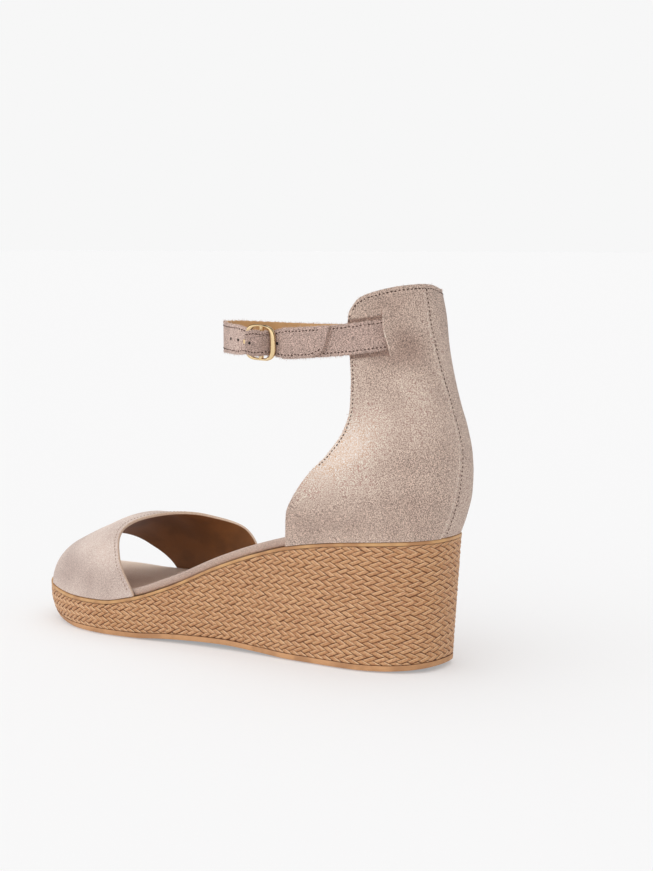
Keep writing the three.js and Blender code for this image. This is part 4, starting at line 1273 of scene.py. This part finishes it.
def fuzz(name, line, outward, per_millimetre, reach=1.0):
    """Triangles at random places along a line, leaning along it by chance and outward."""
    arc = lengths(line)
    count = int(arc[-1] * per_millimetre)
    at = loose.uniform(0, arc[-1], count)
    root = sampled(at, arc, line)
    out = unit(sampled(at, arc, outward))
    root = root + loose.normal(0, 0.25, (count, 3)) - 0.2 * out
    lean = loose.normal(0, 0.6, (count, 3))
    tip = root + (out + lean) * reach * FIBRE_LENGTH * loose.uniform(0.4, 1.2, (count, 1))
    width = loose.normal(0, FIBRE_WIDTH, (count, 3))
    points = np.stack([root, root + width, tip], 1)
    thing = piece(name, points, [np.arange(3 * count).reshape(-1, 3)], [fibre_suede], sharp=180)
    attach(thing, "root")


for long_one, word in ((True, "long_strap"), (False, "short_strap")):
    places = strap_places(long_one)
    run = strap_frame(places)
    high, low = strap_edges(places)
    for side_word, up, way in (("upper", high, 1), ("lower", low, -1)):
        line = strap_point(places, run, places[:, 2] * 0.3, up)
        beyond = strap_point(places, run, places[:, 2] * 0.3, up + way)
        fuzz(word + "_" + side_word + "_fuzz", line, beyond - line, 9)
cut_edges = (
    ("collar_fuzz", quarter_grid[-1], quarter_grid[-3], 6),
    ("lateral_edge_fuzz", quarter_grid[:, 0], quarter_grid[:, 2], 5),
    ("medial_edge_fuzz", quarter_grid[:, -1], quarter_grid[:, -3], 5),
)
for name, line, within, density in cut_edges:
    fuzz(name, line, line - within, density, 0.5)

# Studio: a pale floor and an even bright room that is a little stronger from the front left.
FLOOR_REACH = 40.0
floor_mesh = bpy.data.meshes.new("floor")
floor_corners = [(x * FLOOR_REACH, y * FLOOR_REACH, 0) for x, y in ((-1, -1), (1, -1), (1, 1), (-1, 1))]
floor_mesh.from_pydata(floor_corners, [], [(0, 1, 2, 3)])
floor = bpy.data.objects.new("floor", floor_mesh)
bpy.context.scene.collection.objects.link(floor)
floor_paint, _, floor_shader, _ = finish("floor_paint", 0.9)
floor_shader.inputs["Base Color"].default_value = (0.6, 0.6, 0.6, 1)
floor_shader.inputs["Specular IOR Level"].default_value = 0.0
floor_shader.inputs["Emission Color"].default_value = (0.326, 0.324, 0.326, 1)
floor_shader.inputs["Emission Strength"].default_value = 1.0
floor_mesh.materials.append(floor_paint)

room = bpy.data.worlds.new("room")
bpy.context.scene.world = room
room.use_nodes = True
room_tree = room.node_tree
room_tree.nodes.clear()
ray = room_tree.nodes.new("ShaderNodeTexCoord").outputs["Generated"]
ray_kind = room_tree.nodes.new("ShaderNodeLightPath").outputs


def facing(direction):
    """Dot product of a ray's direction with a fixed one."""
    node = room_tree.nodes.new("ShaderNodeVectorMath")
    node.operation = "DOT_PRODUCT"
    node.inputs[1].default_value = direction
    room_tree.links.new(ray, node.inputs[0])
    return node.outputs["Value"]


def light(colour, strength):
    """A background of a colour and a strength, each a socket or a value."""
    node = room_tree.nodes.new("ShaderNodeBackground")
    feed(room_tree, node.inputs["Color"], colour)
    feed(room_tree, node.inputs["Strength"], strength)
    return node.outputs[0]


def parted(kind, others, chosen):
    """One background for rays of a kind and another for all the others."""
    node = room_tree.nodes.new("ShaderNodeMixShader")
    for socket, source in zip(node.inputs, (ray_kind[kind], others, chosen)):
        room_tree.links.new(source, socket)
    return node.outputs[0]


# Glossy rays see bright panels between dark walls, so that the polished metal has shape.
panels = room_tree.nodes.new("ShaderNodeValToRGB")
for place, shade in ((0.0, 0.3), (0.07, 0.8), (0.13, 0.04), (0.45, 0.04), (0.7, 1.0), (1.0, 1.0)):
    stop = panels.color_ramp.elements.new(place)
    stop.color = (shade, shade, shade, 1)
room_tree.links.new(ranged(room_tree, facing((-0.6, 0.2, -0.77)), -1.0, 1.0), panels.inputs["Fac"])
mirrored = light(panels.outputs["Color"], 1.3)
lit = light((1, 1, 1, 1), ranged(room_tree, facing((-0.62, 0.35, 0.7)), -0.6, 1.0, 0.45, 1.28))
seen = light((0.93, 0.93, 0.93, 1), 1.0)
world_out = room_tree.nodes.new("ShaderNodeOutputWorld")
whole_room = parted("Is Camera Ray", parted("Is Glossy Ray", lit, mirrored), seen)
room_tree.links.new(whole_room, world_out.inputs["Surface"])
bpy.context.scene.view_settings.view_transform = "Standard"

# Camera: low behind the lateral side of the heel, as the photograph looks at the shoe.
PHOTO_HEIGHT = 871
FOCAL_PIXELS = 1686.93
SENSOR = 36.0
CAMERA_LEFT = 0.6775
CAMERA_BEHIND = 0.4001
CAMERA_HEIGHT = 0.2012
CAMERA_TILT = 6.46
CAMERA_TURN = 55.14
camera_data = bpy.data.cameras.new("camera")
camera_data.sensor_width = SENSOR
camera_data.lens = FOCAL_PIXELS * SENSOR / PHOTO_HEIGHT
camera = bpy.data.objects.new("camera", camera_data)
camera.location = (-CAMERA_LEFT, -CAMERA_BEHIND - HEEL_SPOT * MILLIMETRE, CAMERA_HEIGHT)
camera.rotation_euler = (math.radians(90 - CAMERA_TILT), 0, math.radians(-CAMERA_TURN))
bpy.context.scene.collection.objects.link(camera)
bpy.context.scene.camera = camera
